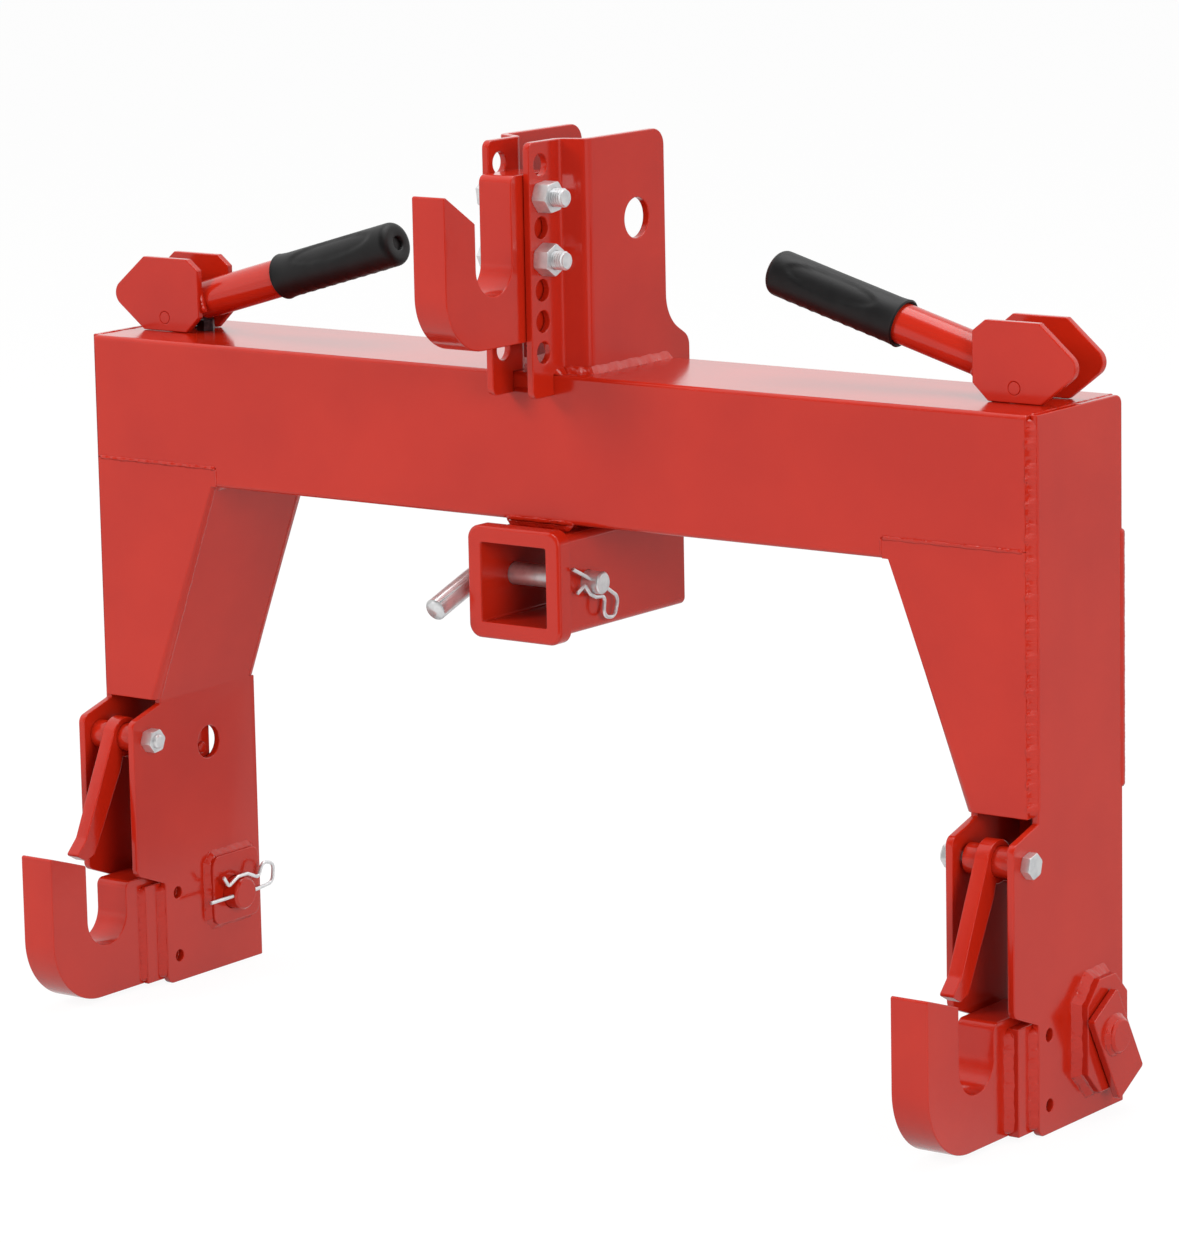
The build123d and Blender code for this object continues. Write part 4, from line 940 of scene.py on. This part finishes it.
def studioFloor():
    values = studio
    shape = bmesh.new()
    bmesh.ops.create_grid(shape, x_segments=1, y_segments=1, size=values["floorSize"] / 2)
    mesh = bpy.data.meshes.new("studioFloor")
    shape.to_mesh(mesh)
    shape.free()
    floor = bpy.data.objects.new("studioFloor", mesh)
    bpy.context.scene.collection.objects.link(floor)
    material, tree, coords = startMaterial("whitePaperSweep")
    white = values["floorWhite"]
    paper = addNode(tree, "ShaderNodeBsdfDiffuse", values={"Color": (white, white, white, 1)})
    outward = addNode(tree, "ShaderNodeVectorMath", {"operation": "NORMALIZE"})
    tree.links.new(coords, outward.inputs[0])
    reach = addNode(tree, "ShaderNodeVectorMath", {"operation": "LENGTH"})
    tree.links.new(coords, reach.inputs[0])
    # Painted reflection: in reflections the floor's glow goes dark towards the camera far off, and dimmer towards
    # the rear right
    paintedFloorDarkening = dimmedTowards(tree, outward.outputs["Vector"], values["sweepDarkSide"], values["sweepDarkFrom"],
                             values["sweepDarkTo"], 1.0, values["sweepDark"])
    paintedFloorDimming = dimmedTowards(tree, outward.outputs["Vector"], values["sweepDimSide"], values["sweepDimFrom"],
                            values["sweepDimTo"], values["sweepLook"], values["sweepDim"])
    far = addNode(tree, "ShaderNodeMapRange", {"interpolation_type": "SMOOTHSTEP"},
                  {"From Min": values["sweepEnd"] * values["sweepFade"], "From Max": values["sweepEnd"]},
                  {"Value": reach.outputs["Value"]})
    paintedFloorFade = addNode(tree, "ShaderNodeMix", {"data_type": "FLOAT"}, {"A": 1.0},
                       {"Factor": far.outputs["Result"], "B": paintedFloorDarkening})
    look = addNode(tree, "ShaderNodeMath", {"operation": "MULTIPLY"})
    tree.links.new(paintedFloorFade.outputs["Result"], look.inputs[0])
    tree.links.new(paintedFloorDimming, look.inputs[1])
    glow = addNode(tree, "ShaderNodeEmission", values={"Color": (1, 1, 1, 1)},
                   links={"Strength": reflectedOnly(tree, values["floorGlow"], look.outputs[0])})
    # The camera sees mostly the glow, and enough of the paper to keep the shadow
    path = addNode(tree, "ShaderNodeLightPath")
    share = addNode(tree, "ShaderNodeMath", {"operation": "MULTIPLY_ADD"})
    tree.links.new(path.outputs["Is Glossy Ray"], share.inputs[0])
    share.inputs[1].default_value = 1.0 - values["floorShare"]
    share.inputs[2].default_value = values["floorShare"]
    amount = addNode(tree, "ShaderNodeMath", {"operation": "MULTIPLY"})
    tree.links.new(seenDirectly(tree), amount.inputs[0])
    tree.links.new(share.outputs[0], amount.inputs[1])
    mix = addNode(tree, "ShaderNodeMixShader", links={"Fac": amount.outputs[0]})
    tree.links.new(paper.outputs[0], mix.inputs[1])
    tree.links.new(glow.outputs[0], mix.inputs[2])
    finishMaterial(tree, mix)
    mesh.materials.append(material)


def studioLamps():
    target = at(*studio["aim"])
    for name, place, size, power, code, mirrored in studio["lamps"]:
        data = bpy.data.lights.new(name, "AREA")
        data.shape = "DISK"
        data.size = size
        data.energy = power
        data.color = hexColour(code)[:3]
        lamp = bpy.data.objects.new(name, data)
        lamp.location = place
        lamp.visible_glossy = mirrored
        lamp.rotation_euler = (target - Vector(place)).to_track_quat("-Z", "Y").to_euler()
        bpy.context.scene.collection.objects.link(lamp)


studioWorld()
studioFloor()
studioLamps()

# Camera, as fitted to the photograph, in millimetres and degrees
photoCamera = {
    "place": (1990.37, -2630.19, 912.34),
    "yaw": 35.221,
    "pitch": 10.111,
    "roll": -0.907,
    "focalPixels": 5327.96,
    "centreX": 708.09,
    "centreY": 550.94,
    "width": 1179,
    "height": 1243,
    "sensorMm": 36,
    "clipEnd": 50,
}


def placeCamera():
    values = photoCamera
    yaw, pitch, roll = (math.radians(values[key]) for key in ("yaw", "pitch", "roll"))
    forward = Vector((-math.sin(yaw) * math.cos(pitch), math.cos(yaw) * math.cos(pitch), -math.sin(pitch)))
    level = forward.cross(up).normalized()
    above = level.cross(forward)
    turnedLevel = level * math.cos(roll) + above * math.sin(roll)
    turnedAbove = above * math.cos(roll) - level * math.sin(roll)
    data = bpy.data.cameras.new("photoCamera")
    data.sensor_width = values["sensorMm"]
    data.lens = values["focalPixels"] / values["height"] * values["sensorMm"]
    data.shift_x = (values["width"] / 2 - values["centreX"]) / values["height"]
    data.shift_y = (values["centreY"] - values["height"] / 2) / values["height"]
    data.clip_end = values["clipEnd"]
    camera = bpy.data.objects.new("photoCamera", data)
    turn = Matrix((turnedLevel, turnedAbove, -forward)).transposed().to_4x4()
    camera.matrix_world = Matrix.Translation(at(*values["place"])) @ turn
    bpy.context.scene.collection.objects.link(camera)
    bpy.context.scene.camera = camera


placeCamera()
bpy.context.scene.view_settings.view_transform = "Standard"
print("studio and camera set")
